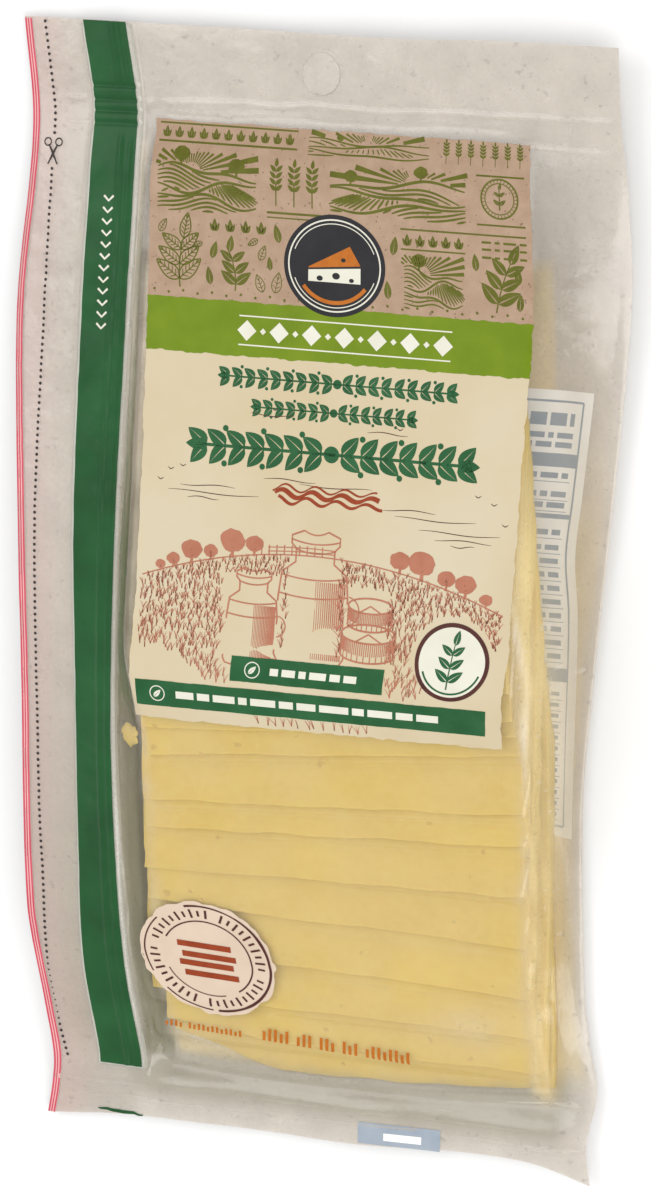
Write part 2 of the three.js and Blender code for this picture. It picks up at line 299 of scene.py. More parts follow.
# Folds in the front web alone
FRONT_FOLDS = (
    (64.6, -40.1, 67.3, -75.4, 0.45, 0.4), (-33.4, 73.5, -31, 65, 1.1, 0.16),
    (-31, 65, -27.6, 59.8, 1.1, 0.16), (40, 66, 52, 60, 1.6, 0.1), (-41, 35, -42, -20, 0.8, 0.3),
    (-43.5, 70, -42.5, 20, 0.7, 0.35), (-41, -45, -41.5, -100, 0.9, 0.3),
    (63, -88, 66, -106, 0.8, 0.3), (64, 20, 66, -20, 1.0, 0.3), (66, 62, 74, 70, 1.2, 0.25),
)
CRUSHED = (119.4, 116.1, 113.5, 110.6)  # y of the lines where the seal crushes the strip


def folds(table, x, y):
    """Height of the narrow ridges in a table of folds."""
    total = np.zeros(np.broadcast(x, y).shape)
    for x0, y0, x1, y1, wide, high in table:
        length = np.hypot(x1 - x0, y1 - y0)
        ax, ay = (x1 - x0) / length, (y1 - y0) / length
        along = (x - x0) * ax + (y - y0) * ay
        off = (y - y0) * ax - (x - x0) * ay + 0.5 * wobble(along, length, 9, wide)
        total += high * between(along, 0, 3, length, 3) * bell(off, 0, wide)
    return total


def strip_part(x, y):
    """Place across the strip, 0 to 1, and how much of the strip there is at that y."""
    s = section(y)
    return (x - s[1]) / (s[2] - s[1]), smooth((y - STRIP_FOOT + 0.5) / 1.2)


def strip_swell(x, y):
    """How far the front film stands over the strip and its two ribs."""
    part, there = strip_part(x, y)
    over = between(part, -0.08, 0.07, 1.08, 0.07)
    ribs = 0.42 * bell(part, 0.64, 0.05) + 0.24 * bell(part, 0.845, 0.04)
    ribs = ribs * (1 - 0.85 * between(y, 106, 3, 122, 2))
    crush = sum(bell(y, line, 0.5) for line in CRUSHED)
    puckers = 0.16 * np.sin(y * 1.45 + 2 * wobble(x, y, 8)) * between(y, -62, 8, 4, 9)
    puckers = puckers * between(part, 0, 0.25, 0.62, 0.2)
    plain = 0.9 + 0.03 * wobble(x, y, 5) + 0.1 * wobble(x, y, 4, 6) * smooth((y - 8) / 20)
    return there * over * (plain + ribs + puckers - 0.45 * crush)


def film_back(x, y):
    """Height of the rear film."""
    solid = back_web(x, y)
    away = smooth(solid / 1.0)
    sealed = 1 - chamber(y)
    relief = folds(SEALED_FOLDS, x, y) * sealed + 0.1 * wobble(x, y, 11, 2)
    return solid + 0.03 + away * (0.17 + np.maximum(relief, -0.15))


def film_front(x, y):
    """Height of the front film."""
    s = section(y)
    sealed = 1 - chamber(y)
    relief = folds(SEALED_FOLDS, x, y) + 0.1 * wobble(x, y, 11, 2)
    loose = folds(FRONT_FOLDS, x, y) + 0.06 * (1 + wobble(x, y, 6, 5))
    beside = 1 - between(x, s[3], 2, s[4], 2)
    loose = loose + beside * 0.12 * (1 + wobble(x, y, 3.2, 8))
    top = front_web(x, y) - FILM_LAY + mix(loose, relief, sealed) + strip_swell(x, y)
    inset = np.minimum(np.minimum(x - s[0], s[5] - x), 1.6) / 1.6
    back = film_back(x, y)
    return back + 0.04 + np.maximum(top - back - 0.04, 0.02) * mix(0.25, 1, smooth(inset))


# Shared grid of both webs: c runs across in five bands, r runs up along the slices' edges
def across(c, y):
    """x of the grid's column c at height y."""
    s = section(y)
    i = np.clip(np.floor(c).astype(int), 0, 4)
    low = np.take_along_axis(s, i[None], 0)[0]
    high = np.take_along_axis(s, i[None] + 1, 0)[0]
    return mix(low, high, c - i)


def upward(r, x):
    """y of the grid's row r at x."""
    lines = [through(FOOT_EDGE, 1, x), np.full_like(x, BOTTOM_SEAL)]
    for k in range(len(FAN)):
        lines += [slice_edge(k, x) - FILM_RAMP] if k < TIGHT_FROM else []
        lines.append(slice_edge(k, x))
    lines += [np.full_like(x, TOP_SEAL), through(HEAD_EDGE, 1, x)]
    lines = np.stack(lines)
    i = np.clip(np.floor(r).astype(int), 0, len(lines) - 2)
    low = np.take_along_axis(lines, i[None], 0)[0]
    high = np.take_along_axis(lines, i[None] + 1, 0)[0]
    return mix(low, high, r - i)


def steps(counts):
    """Even steps in each unit band, as many as counted."""
    parts = [np.linspace(k, k + 1, n, endpoint=False) for k, n in enumerate(counts)]
    return np.append(np.concatenate(parts), len(counts))


def row_counts(ramp, spacing):
    counts = [round(9 / spacing * 1.6), round(6 / spacing)]
    for k in range(len(FAN)):
        top = FAN[k + 1][0] if k + 1 < len(FAN) else TOP_SEAL
        if k + 1 < TIGHT_FROM:
            top -= FILM_RAMP
        counts += [ramp] if k < TIGHT_FROM else []
        counts.append(max(2, round((top - FAN[k][0]) / spacing)))
    return counts + [round(18 / spacing * 1.7)]


def grid(cs, rs):
    """x and y of every grid point; a row's y depends on x and a column's x on y."""
    c, r = np.meshgrid(cs, rs)
    y = upward(r, np.full_like(c, 10.0))
    for _ in range(5):
        x = across(c, y)
        y = upward(r, x)
    return x, y


def rgb(r, g, b):
    """Linear colour of an 8-bit one."""
    v = np.array([r, g, b]) / 255
    v = np.where(v <= 0.04045, v / 12.92, ((v + 0.055) / 1.055) ** 2.4)
    return (*v.tolist(), 1.0)


LEAST_SHEEN = 0.04


class Nodes:
    """A material and short ways to add nodes to it."""

    def __init__(self, name):
        self.material = bpy.data.materials.new(name)
        self.material.use_nodes = True
        self.tree = self.material.node_tree
        self.tree.nodes.clear()
        self.place = self.add("TexCoord").outputs["Object"]

    def add(self, kind, inputs=None, **settings):
        node = self.tree.nodes.new("ShaderNode" + kind)
        for key, value in settings.items():
            setattr(node, key, value)
        for key, value in (inputs or {}).items():
            if isinstance(value, bpy.types.NodeSocket):
                self.tree.links.new(value, node.inputs[key])
            else:
                node.inputs[key].default_value = value
        return node

    def noise(self, size, detail=3, rough=0.55, stretch=None):
        """Noise with bumps about size millimetres apart."""
        where = self.place
        if stretch:
            scaled = self.add("Mapping", {"Vector": where, "Scale": stretch})
            where = scaled.outputs["Vector"]
        inputs = {"Vector": where, "Scale": 1 / (size * MM), "Detail": detail, "Roughness": rough}
        return self.add("TexNoise", inputs).outputs["Fac"]

    def ramp(self, value, *stops):
        """Colour or grey ramp; each stop is (position, colour)."""
        node = self.add("ValToRGB", {"Fac": value})
        marks = node.color_ramp.elements
        while len(marks) < len(stops):
            marks.new(0.5)
        for mark, (position, colour) in zip(marks, stops):
            mark.position = position
            mark.color = colour if isinstance(colour, tuple) else (colour, colour, colour, 1)
        return node.outputs["Color"]

    def blend(self, fac, a, b):
        return self.add("MixRGB", {"Fac": fac, "Color1": a, "Color2": b}).outputs[0]

    def tinted(self, tint, value, much, colour):
        """The tint, blended with a colour by much of a value."""
        return self.blend(self.maths("MULTIPLY", value, much), tint, colour)

    def maths(self, operation, a, b, clamp=False):
        return self.add("Math", {0: a, 1: b}, operation=operation, use_clamp=clamp).outputs[0]

    def bump(self, height, depth):
        """Bump of the given depth in millimetres."""
        return self.add("Bump", {"Height": height, "Distance": depth * MM}).outputs["Normal"]

    def finish(self, shader):
        self.add("OutputMaterial", {"Surface": shader.outputs[0]})
        return self.material

    def solid(self, inputs):
        return self.finish(self.add("BsdfPrincipled", inputs))

    def see_through(self, milk, amount, normal, gloss_rough):
        """Clear sheet, veiled with milk by amount, that mirrors alike from both sides."""
        facing = self.add("LayerWeight", {"Blend": 0.5, "Normal": normal}).outputs["Facing"]
        sheen = self.maths("MULTIPLY", self.maths("POWER", facing, 5.0), 1 - LEAST_SHEEN)
        sheen = self.maths("ADD", sheen, LEAST_SHEEN)
        clear = self.add("BsdfTransparent", {"Color": (1, 1, 1, 1)})
        shine = self.add("BsdfGlossy", {"Roughness": gloss_rough, "Normal": normal, "Color": (1, 1, 1, 1)})
        body = self.add("BsdfPrincipled", milk | {"Normal": normal})
        veil = self.add("MixShader", {0: amount, 1: clear.outputs[0], 2: body.outputs[0]})
        return self.finish(self.add("MixShader", {0: sheen, 1: veil.outputs[0], 2: shine.outputs[0]}))


def piece(name, points, faces, material, replaced=()):
    """Adds a mesh given in millimetres in the bag's frame."""
    place = (points.reshape(-1, 3) + (CENTRE_X, 0, 0)) * MM
    mesh = bpy.data.meshes.new(name)
    mesh.from_pydata(place.tolist(), [], faces if isinstance(faces, list) else faces.tolist())
    mesh.polygons.foreach_set("use_smooth", [True] * len(mesh.polygons))
    mesh.materials.append(material)
    mesh.update()
    made = bpy.data.objects.new(name, mesh)
    bpy.context.scene.collection.objects.link(made)
    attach(made, "root")
    if replaced:
        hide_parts(*replaced)
    return made


def with_value(made, name, values):
    """Stores one number for each point of a piece."""
    store = made.data.attributes.new(name, "FLOAT", "POINT")
    store.data.foreach_set("value", np.asarray(values, np.float32).ravel())


def sheet_faces(tall, wide):
    """Quads of a grid of tall rows and wide columns, facing up."""
    at = np.arange(tall * wide).reshape(tall, wide)
    quads = (at[:-1, :-1], at[:-1, 1:], at[1:, 1:], at[1:, :-1])
    return np.stack([q.ravel() for q in quads], 1)


# Materials
def film_material():
    """Hazy clear film: see-through where the stored haze is low, warm grey where it is high."""
    n = Nodes("clear_film")
    cloud = n.noise(9, 4)
    grain = n.noise(1.1, 3, 0.7)
    fleck = n.ramp(n.noise(0.55, 2, 0.6), (0.60, 0.0), (0.72, 1.0))
    sparse = n.ramp(n.noise(1.7, 2, 0.5), (0.66, 0.0), (0.70, 1.0))
    tint = n.ramp(cloud, (0.3, rgb(212, 202, 191)), (0.7, rgb(225, 216, 205)))
    # The stored shade is painted shade and the stored glow is painted light of cheese colour; the blush is
    # a pink tint beside the guide lines
    stored = (("shade", rgb(140, 135, 106)), ("blush", rgb(212, 160, 156)), ("glow", rgb(244, 220, 160)))
    for name, colour in stored:
        tint = n.blend(n.add("Attribute", attribute_name=name).outputs["Fac"], tint, colour)
    tint = n.tinted(tint, fleck, 0.42, rgb(150, 140, 128))
    tint = n.tinted(tint, sparse, 0.3, rgb(112, 104, 96))
    vary = n.maths("ADD", n.maths("MULTIPLY", cloud, 0.3), n.maths("MULTIPLY", grain, 0.35))
    haze = n.add("Attribute", attribute_name="haze").outputs["Fac"]
    amount = n.maths("MULTIPLY", haze, n.maths("ADD", vary, 0.68), clamp=True)
    normal = n.bump(n.maths("ADD", n.noise(2.4, 4), n.maths("MULTIPLY", grain, 0.3)), 0.1)
    milk = {"Base Color": tint, "Roughness": 0.45, "Specular IOR Level": 0.2}
    return n.see_through(milk, amount, normal, 0.14)


def cheese_material():
    """Moist semi-soft cheese with faint mottling, a fine knit and a few pinholes, which are darkened with
    painted shade.
    """
    n = Nodes("cheese_paste")
    knit = n.noise(2.2, 4, 0.6)
    colour = n.ramp(n.noise(16, 3), (0.3, rgb(202, 172, 80)), (0.7, rgb(209, 181, 92)))
    colour = n.blend(n.ramp(knit, (0.35, 0.0), (0.75, 0.35)), colour, rgb(215, 192, 112))
    holes = n.ramp(n.noise(3.1, 1, 0.3), (0.20, 1.0), (0.25, 0.0))
    # Painted shade: the pinholes are darkened towards a deeper orange
    colour = n.tinted(colour, holes, 0.45, rgb(176, 138, 66))
    height = n.maths("SUBTRACT", n.maths("MULTIPLY", knit, 0.5), holes)
    return n.solid({
        "Base Color": colour, "Roughness": 0.42, "Normal": n.bump(height, 0.12),
        "Subsurface Weight": 0.35, "Subsurface Radius": (0.004, 0.0022, 0.0008),
        "Subsurface Scale": 0.6, "Specular IOR Level": 0.45,
    })


def ink_material(name, colour, other, size, wear=0.0, worn=None, flecks=0.0, gloss=0.4, shine=0.15):
    """Printed ink under gloss: two close tones, grain, optional worn spots and flecks."""
    n = Nodes(name)
    tint = n.ramp(n.noise(size, 4), (0.32, rgb(*colour)), (0.68, rgb(*other)))
    if wear:
        spots = n.ramp(n.noise(0.8, 3, 0.7), (0.62, 0.0), (0.7, 1.0))
        tint = n.tinted(tint, spots, wear, rgb(*worn))
    if flecks:
        dark = n.ramp(n.noise(0.9, 2, 0.5), (0.67, 0.0), (0.72, 1.0))
        tint = n.tinted(tint, dark, flecks, rgb(74, 58, 44))
    grain = n.maths("MULTIPLY", n.noise(0.5, 3, 0.7), 0.2)
    normal = n.bump(n.maths("ADD", n.noise(3, 3), grain), 0.08)
    return n.solid({
        "Base Color": tint, "Roughness": gloss, "Normal": normal, "Specular IOR Level": shine,
    })


def strip_material():
    """Pale milky plastic of the press-to-close strip, faintly drawn along its length."""
    n = Nodes("strip_plastic")
    drawn = n.noise(1.0, 3, 0.6, stretch=(1, 0.04, 1))
    tint = n.ramp(drawn, (0.3, rgb(184, 187, 174)), (0.7, rgb(204, 205, 194)))
    return n.solid({
        "Base Color": tint, "Roughness": 0.32, "Normal": n.bump(drawn, 0.05),
        "Subsurface Weight": 0.2, "Subsurface Radius": (0.002, 0.002, 0.002),
        "Subsurface Scale": 0.5,
    })


def bead_material():
    """Drops of moisture: clear, with a painted highlight as a milky rim."""
    n = Nodes("moisture")
    normal = n.bump(n.noise(0.8, 2), 0.05)
    # Painted highlight: the drops turn milky white towards their rims
    rim = n.add("LayerWeight", {"Blend": 0.35, "Normal": normal}).outputs["Facing"]
    milk = {"Base Color": rgb(244, 240, 226), "Roughness": 0.2}
    return n.see_through(milk, n.maths("MULTIPLY", rim, 0.35), normal, 0.06)


def floor_material():
    n = Nodes("floor_paper")
    tint = n.ramp(n.noise(60, 2), (0.3, 0.86), (0.7, 0.88))
    return n.solid({"Base Color": tint, "Roughness": 0.9, "Specular IOR Level": 0.0})


# Film
COVER_HEAD = 84                 # y where the film over the slices turns milky
HEADER_HAZE, BACK_HAZE = 0.34, 0.82
HAZE_SPOTS = (                  # how much haze, x, y, half width, half height
    (0.25, -31, -113, 10, 5), (0.22, 44, -99, 14, 7), (0.14, -18, -111, 18, 5),
    (-0.28, CRUMB_X, CRUMB_Y, 4, 4),
)


def stack_cover(x, y, reach=0.0):
    """1 where the film lies on cheese, or as far beside it as the reach."""
    s = section(y)
    sides = between(x, s[3] - reach, 2, s[4] + reach, 2)
    return sides * between(y, slice_edge(0, x) - reach / 2, 2.5, COVER_HEAD, 4)


def spot(x, y, cx, cy, wide, tall):
    return bell(x, cx, wide) * bell(y, cy, tall)


def strip_gap(x, y, high):
    """1 in the upper part of the gap between the strip and the slices."""
    s = section(y)
    return between(x, s[2], 2, s[3], 3) * between(y, 20, 60, high, 8)


def die_cut_highlight(x, y):
    """1 on the die-cut round the hanging hole, where a highlight is painted into the haze."""
    return bell(np.hypot(x - PEG_X, y - PEG_Y), PEG_RADIUS + 0.25, 0.25)


def side_band(x, y):
    """1 in the middle of the pale band at the slices' right side, where a highlight is painted into the
    haze and glow.
    """
    wide = mix(2.9, 2.2, smooth((y + 90) / 80))
    return bell(x, through(SIDE_BAND, 1, y), wide) * between(y, -119, 6, 46, 30)


def fold_highlight(x, y):
    """1 along the sharp fold beside the label, where a highlight is painted into the haze."""
    return bell(x, through(BRIGHT_FOLD, 1, y), 0.55) * between(y, -41, 12, 9, 5)


def film_painted_glow(x, y):
    """Painted glow: how much the film is lightened and yellowed, standing in for cheese-coloured light,
    over and beside the slices, along the pale side band and in the upper gap by the strip.
    """
    s = section(y)
    beside = between(x, s[4], 2, s[5] - 0.5, 4) * smooth((118 - y) / 60) * between(y, -114, 8, 45, 40)
    band = 0.8 * side_band(x, y) * (1 - 0.5 * fold_highlight(x, y))
    over = np.maximum(band, 0.6 * stack_cover(x, y))
    return np.clip(over + 0.4 * beside + 0.22 * strip_gap(x, y, 110), 0, 0.9)


def front_haze(x, y):
    """How milky the front film is, from clear at 0 to opaque at 1; it also carries painted highlights along
    folds, the seal lines, the die-cut and the pale side band.
    """
    s = section(y)
    value = mix(HEADER_HAZE, 0.05, stack_cover(x, y, 3))
    outward = smooth((np.clip((x - s[4]) / (s[5] - s[4]), 0, 1) - 0.2) / 0.8)
    beside = smooth((x - s[4] + 1) / 2) * between(y, -118, 6, 102, 25)
    value = mix(value, mix(0.05, 0.16, outward), beside)
    milk = mix(0.02, 0.17, smooth((24 - y) / 45)) * smooth((x - s[4] - 1.5) / 3) * smooth((y + 78) / 20)
    left_rim = bell(x, s[3] + 1.2, 1.8) * between(y, -116, 6, COVER_HEAD, 10)
    foot_rim = bell(y, slice_edge(0, x) + 0.5, 2.2) * between(x, -38, 4, 60, 4)
    value = value + (0.2 + 0.1 * wobble(x, y, 5, 11)) * np.maximum(left_rim, foot_rim)
    value = value + 0.1 * stack_cover(x, y) * smooth(0.5 + 0.9 * wobble(x, y, 13, 9))
    # Painted highlight in the pale side band
    value = value + beside * milk + (0.4 + 0.13 * wobble(x, y / 9, 0.9, 4)) * side_band(x, y)
    # More haze in the upper gap beside the strip, which lightens it, and a painted highlight along the
    # bright fold
    value = value + 0.3 * strip_gap(x, y, 112) + 0.42 * fold_highlight(x, y)
    # Painted highlight along the first front fold, a crease at the lower right
    value = value + 0.3 * folds(FRONT_FOLDS[:1], x, y)
    value = value + sum(much * spot(x, y, *place) for much, *place in HAZE_SPOTS)
    part, there = strip_part(x, y)
    value = mix(value, 0.1, there * between(part, -0.1, 0.03, 1.1, 0.03))
    value = value + 0.3 * there * between(part, 0.97, 0.03, 1.16, 0.05)
    # Painted highlights along the sealed folds
    lines = np.minimum(np.abs(folds(SEALED_FOLDS, x, y)) * 1.6, 0.4) * (1 - chamber(y))
    return np.clip(value + lines + 0.3 * die_cut_highlight(x, y), 0.02, 1)


def film_painted_shade(x, y):
    """Painted shade: how much the film's tone is darkened and turned olive, standing in for the shadow of
    what it lies between and for light bounced from the green strip and the cheese.
    """
    s = section(y)
    gap = between(x, s[2], 2, s[3] + 1, 3) * between(y, -118, 6, 112, 8)
    below = between(y, -129, 6, -106, 7) * between(x, -50, 8, 68, 6)
    margin = 0.08 + 0.32 * smooth((30 - y) / 130) * mix(0.3, 1, smooth((y + 120) / 12))
    left = 0.14 + margin * smooth((s[2] - x) / 4)
    right = smooth((x - s[4]) / 3) * smooth((112 - y) / 10)
    right_low = 0.32 * smooth((30 - y) / 60) * smooth((s[5] - x) / 4) + 0.1
    right_low = right_low * right * mix(0.35, 1, smooth((y + 122) / 16))
    # Painted shade in the gap beside the strip, taken back near its upper end so that the film there is
    # painted lighter
    gap = gap * mix(0.95, -0.12, smooth(y / 60))
    return np.clip(left * (1 - right) + right_low + gap + 0.42 * below, 0, 1)


def film_blush(x, y):
    """How much the red guide lines colour the film beside them."""
    return 0.3 * bell(x, through(LEFT_EDGE, 1, y) + 3, 7)


def back_haze(x, y):
    """Clear only under the slices, so that no clear film shows beside them."""
    right = through(SLICES_RIGHT, 1, y) - 2.5 - 0.1 * np.clip(y + 18, 0, 80)
    under = stack_cover(x, y, -2.5) * smooth((58 - y) / 4) * smooth((right - x) / 1.5)
    return mix(BACK_HAZE, 0.2, under)


def cut_round(points, faces):
    """Opens the hanging hole: moves near points onto its circle and drops the faces inside it."""
    away = points[:, :2] - (PEG_X, PEG_Y)
    far = np.hypot(away[:, 0], away[:, 1])
    near = np.abs(far - PEG_RADIUS) < 0.62
    points[near, :2] = (PEG_X, PEG_Y) + away[near] / far[near, None] * PEG_RADIUS
    far[near] = PEG_RADIUS
    kept = (far[faces] > PEG_RADIUS + 0.01).any(1)
    return points, faces[kept]


def film(name, web, haze, cs, rs, material, replaced=()):
    x, y = grid(cs, rs)
    points, faces = cut_round(np.stack([x.ravel(), y.ravel()], 1), sheet_faces(*x.shape))
    used = np.unique(faces)
    order = np.full(len(points), -1)
    order[used] = np.arange(len(used))
    x, y = points[used].T
    made = piece(name, np.stack([x, y, web(x, y)], 1), order[faces], material, replaced)
    values = {"haze": haze, "blush": film_blush, "glow": film_painted_glow, "shade": film_painted_shade}
    for value, measure in values.items():
        with_value(made, value, measure(x, y))


# Columns in each band of the webs
FRONT_COLUMNS, BACK_COLUMNS = (14, 36, 14, 86, 20), (10, 8, 10, 84, 14)
# Fine rows about the header's seal, which lies one band below the upper end
SEAL_ROWS = np.append(np.linspace(-0.055, 0, 17), np.linspace(0, 0.28, 15))

film_look = film_material()
fine_rows = steps(row_counts(6, 1.15))
fine_rows = np.union1d(fine_rows, fine_rows[-1] - 1 + SEAL_ROWS)
coarse_rows = steps(row_counts(2, 2.0)[:-1] + [26])
film("film_front", film_front, front_haze, steps(FRONT_COLUMNS), fine_rows, film_look, ["pouch"])
film("film_back", film_back, back_haze, steps(BACK_COLUMNS), coarse_rows, film_look)


def disc_grid(radius, rings, sectors, cx=0.0, cy=0.0, tall=None, rough=0.0, turn=0.0):
    """Round field as rings by sectors, its rim roughened by the given length."""
    r = np.linspace(0, 1, rings + 1)[:, None]
    angle = np.linspace(0, 2 * np.pi, sectors + 1)[None, :]
    rim = 1 + rough / radius * wobble(np.cos(angle) * 40, np.sin(angle) * 40, 5, radius)
    x, y = radius * r * rim * np.cos(angle), (tall or radius) * r * rim * np.sin(angle)
    c, s = np.cos(np.radians(turn)), np.sin(np.radians(turn))
    return np.stack([cx + x * c - y * s, cy + x * s + y * c], 2)


def hole_disc():
    """The punched-out disc of both sheets, still lying in the hanging hole."""
    flat = disc_grid(PEG_RADIUS - 0.1, 8, 40, PEG_X, PEG_Y)
    x, y = flat[..., 0], flat[..., 1]
    tip = 0.25 * smooth(np.hypot(x - PEG_X + 3, y - PEG_Y - 3) / 9)
    points, faces, haze = [], [], []
    for web, value in ((film_front, HEADER_HAZE), (film_back, BACK_HAZE)):
        faces.append(sheet_faces(*x.shape)[:, ::-1] + x.size * len(points))
        points.append(np.stack([x, y, web(x, y) + tip], 2).reshape(-1, 3))
        haze.append(np.full(x.size, value))
    made = piece("hang_hole_disc", np.concatenate(points), np.concatenate(faces), film_look)
    with_value(made, "haze", np.concatenate(haze))
    # Painted shade, the same light darkening as the header film round the disc
    with_value(made, "shade", np.full(2 * x.size, 0.08))


hole_disc()


# Cheese
SLICE_RIM = np.array([0, 0.04, 0.12, 0.26, 0.5, 1.5, 3.4])  # fine steps inwards from a side
RIM_ROUND, RIM_POWER = 0.5, 2.6
FRONT_GAP, BACK_GAP = 0.16, 0.12  # least gaps from a slice to the two webs
CORNERS_IN = (6.5, 2.5, 1.5)    # how far the lowest slices' left corners are drawn in


def slice_points(k):
    """Upper and lower faces of a slice, meeting at its rim."""
    y0, turn, x0 = FAN[k]
    y0 = y0 + (x0 - STACK_MIDDLE) * np.tan(np.radians(turn))
    inner = np.linspace(5.8, SLICE_SIZE - 5.8, 42)
    line = np.concatenate([SLICE_RIM, inner, SLICE_SIZE - SLICE_RIM[::-1]])
    half = SLICE_SIZE / 2
    v, u = np.meshgrid(line, line - half, indexing="ij")
    inset = np.minimum(np.minimum(v, SLICE_SIZE - v), np.minimum(u + half, half - u))
    swell = (1 - (1 - np.clip(inset / RIM_ROUND, 0, 1)) ** RIM_POWER) ** (1 / RIM_POWER)
    at_side, at_foot = smooth((np.abs(u) - half + 7) / 7), smooth((7 - v) / 7)
    ragged_u = at_side * (0.45 * wobble(v, 9 * k, 7, k) + 0.12 * wobble(v, k, 1.3, k))
    ragged_v = at_foot * (0.4 * wobble(u, 5 * k, 9, k + 3) + 0.1 * wobble(u, k, 1.5, k))
    u = u + np.sign(u) * ragged_u
    v = v + ragged_v
    v = v + bow(k, u) * (1 - v / SLICE_SIZE)
    if k < len(CORNERS_IN):
        v = v + CORNERS_IN[k] * (smooth((-u - 20) / 30) * smooth((30 - v) / 30))
    c, s = np.cos(np.radians(turn)), np.sin(np.radians(turn))
    lean = mix(LEFT_LEAN, RIGHT_LEAN, u / SLICE_SIZE + 0.5)
    x, y = x0 + u * c - v * s * lean, y0 + u * s + v * c
    pull = through(SLICES_RIGHT, 1, y[:, -1]) - x[:, -1]
    pull = np.clip(pull, -9, 0.9) - 1.3 * smooth((line - 84) / 14)
    x = x + pull[:, None] * smooth(u / SLICE_SIZE + 0.5)
    middle = 0.1 + SLICE_THICK * k - droop(y) + SLICE_BODY / 2
    upper = middle + SLICE_BODY / 2 * swell - 0.05 * (1 + wobble(x, y, 8, k))
    upper = upper - END_THIN * swell * (1 - smooth(v / 6))
    lower = middle - SLICE_BODY / 2 * swell
    ceiling = np.minimum(film_front(x, y), film_front(x + 0.5, y)) - FRONT_GAP
    floor = film_back(x, y) + BACK_GAP
    upper = np.minimum(upper, ceiling)
    lower = np.clip(np.minimum(lower, upper - 0.03 * swell), floor, None)
    return x, y, np.maximum(upper, lower), lower


def slice_piece(k, material):
    x, y, upper, lower = slice_points(k)
    tall, wide = x.shape
    border = np.zeros((tall, wide), bool)
    border[[0, -1], :] = True
    border[:, [0, -1]] = True
    top = np.arange(tall * wide).reshape(tall, wide)
    under = np.where(border, top, 0)
    under[~border] = tall * wide + np.arange((~border).sum())
    rim_height = (upper + lower) / 2
    upper = np.where(border, rim_height, upper)
    points = np.concatenate([
        np.stack([x, y, upper], 2).reshape(-1, 3), np.stack([x, y, lower], 2)[~border],
    ])
    faces = sheet_faces(tall, wide)
    lower_faces = under.ravel()[faces][:, ::-1]
    piece(f"slice_{k + 1:02d}", points, np.concatenate([faces, lower_faces]), material)


paste = cheese_material()
for index in range(len(FAN)):
    slice_piece(index, paste)


def crumb():
    """A broken corner of cheese that sticks to the front film beside the stack."""
    flat = disc_grid(3.1, 7, 28, CRUMB_X, CRUMB_Y, tall=2.7, rough=0.9, turn=20)
    x, y = flat[..., 0], flat[..., 1]
    r = np.linspace(0, 1, 8)[:, None] * np.ones(x.shape[1])
    swell = (1 - r ** 3) ** (1 / 3)
    top = film_front(x, y) - 0.15 - 0.7 * (1 - swell)
    bottom = top - 1.5 * swell
    points = np.concatenate([np.stack([x, y, z], 2).reshape(-1, 3) for z in (top, bottom)])
    faces = sheet_faces(*x.shape)
    piece("cheese_crumb", points, np.concatenate([faces[:, ::-1], faces + x.size]), paste)


crumb()


# Press-to-close strip
STRIP_PROFILE = (               # part of the width, height over the seat of both webs
    (-0.055, -0.08), (-0.055, 0.5), (0, 0.86), (0.56, 0.88), (0.59, 1.1), (0.615, 1.2), (0.665, 1.2),
    (0.69, 1.1), (0.72, 0.88), (0.78, 0.88), (0.81, 0.98), (0.83, 1.02), (0.86, 1.02), (0.88, 0.98),
    (0.91, 0.88), (1, 0.84), (1.055, 0.5), (1.055, -0.08),
)


def add_strip():
    _, rows = grid(np.array([1.0, 1.5]), fine_rows)
    inner = rows[:, 0]
    inner = inner[(inner > STRIP_FOOT + 0.6) & (inner < STRIP_HEAD - 0.4)]
    y = np.concatenate([[STRIP_FOOT], inner, [STRIP_HEAD]])[:, None]
    part = np.array([p for p, _ in STRIP_PROFILE])[None, :]
    raised = np.array([h for _, h in STRIP_PROFILE])[None, :]
    s = section(y[:, 0])
    left, right = s[1][:, None], s[2][:, None]
    x = mix(left, right, part)
    seat = mix(front_web(left, y), front_web(right, y), part) - SHEET / 2
    y = np.broadcast_to(y, x.shape)
    seal = between(y, 107, 3, 123, 2)
    z = np.minimum(seat + raised * (1 - 0.35 * seal), film_front(x, y) - 0.1 - 0.2 * seal)
    at = np.arange(x.size).reshape(x.shape)
    around = np.roll(at, -1, axis=1)
    sides = np.stack([at[:-1], around[:-1], around[1:], at[1:]], 2).reshape(-1, 4).tolist()
    ends = [at[0][::-1].tolist(), at[-1].tolist()]
    piece("press_strip", np.stack([x, y, z], 2), sides + ends, strip_material(), ["zipper"])


add_strip()


# Print: flat shapes in the label's own millimetres, laid on the film
def label_xy(shape):
    """Label places (from its lower left corner) to the bag's x and y."""
    a, b = shape[..., 0] / LABEL_WIDE, shape[..., 1] / LABEL_TALL
    y = mix(mix(LABEL_FOOT[0], LABEL_HEAD[0], b), mix(LABEL_FOOT[1], LABEL_HEAD[1], b), a)
    x = mix(through(LABEL_SIDES, 1, y), through(LABEL_SIDES, 2, y), a)
    return np.stack([x, y], -1)


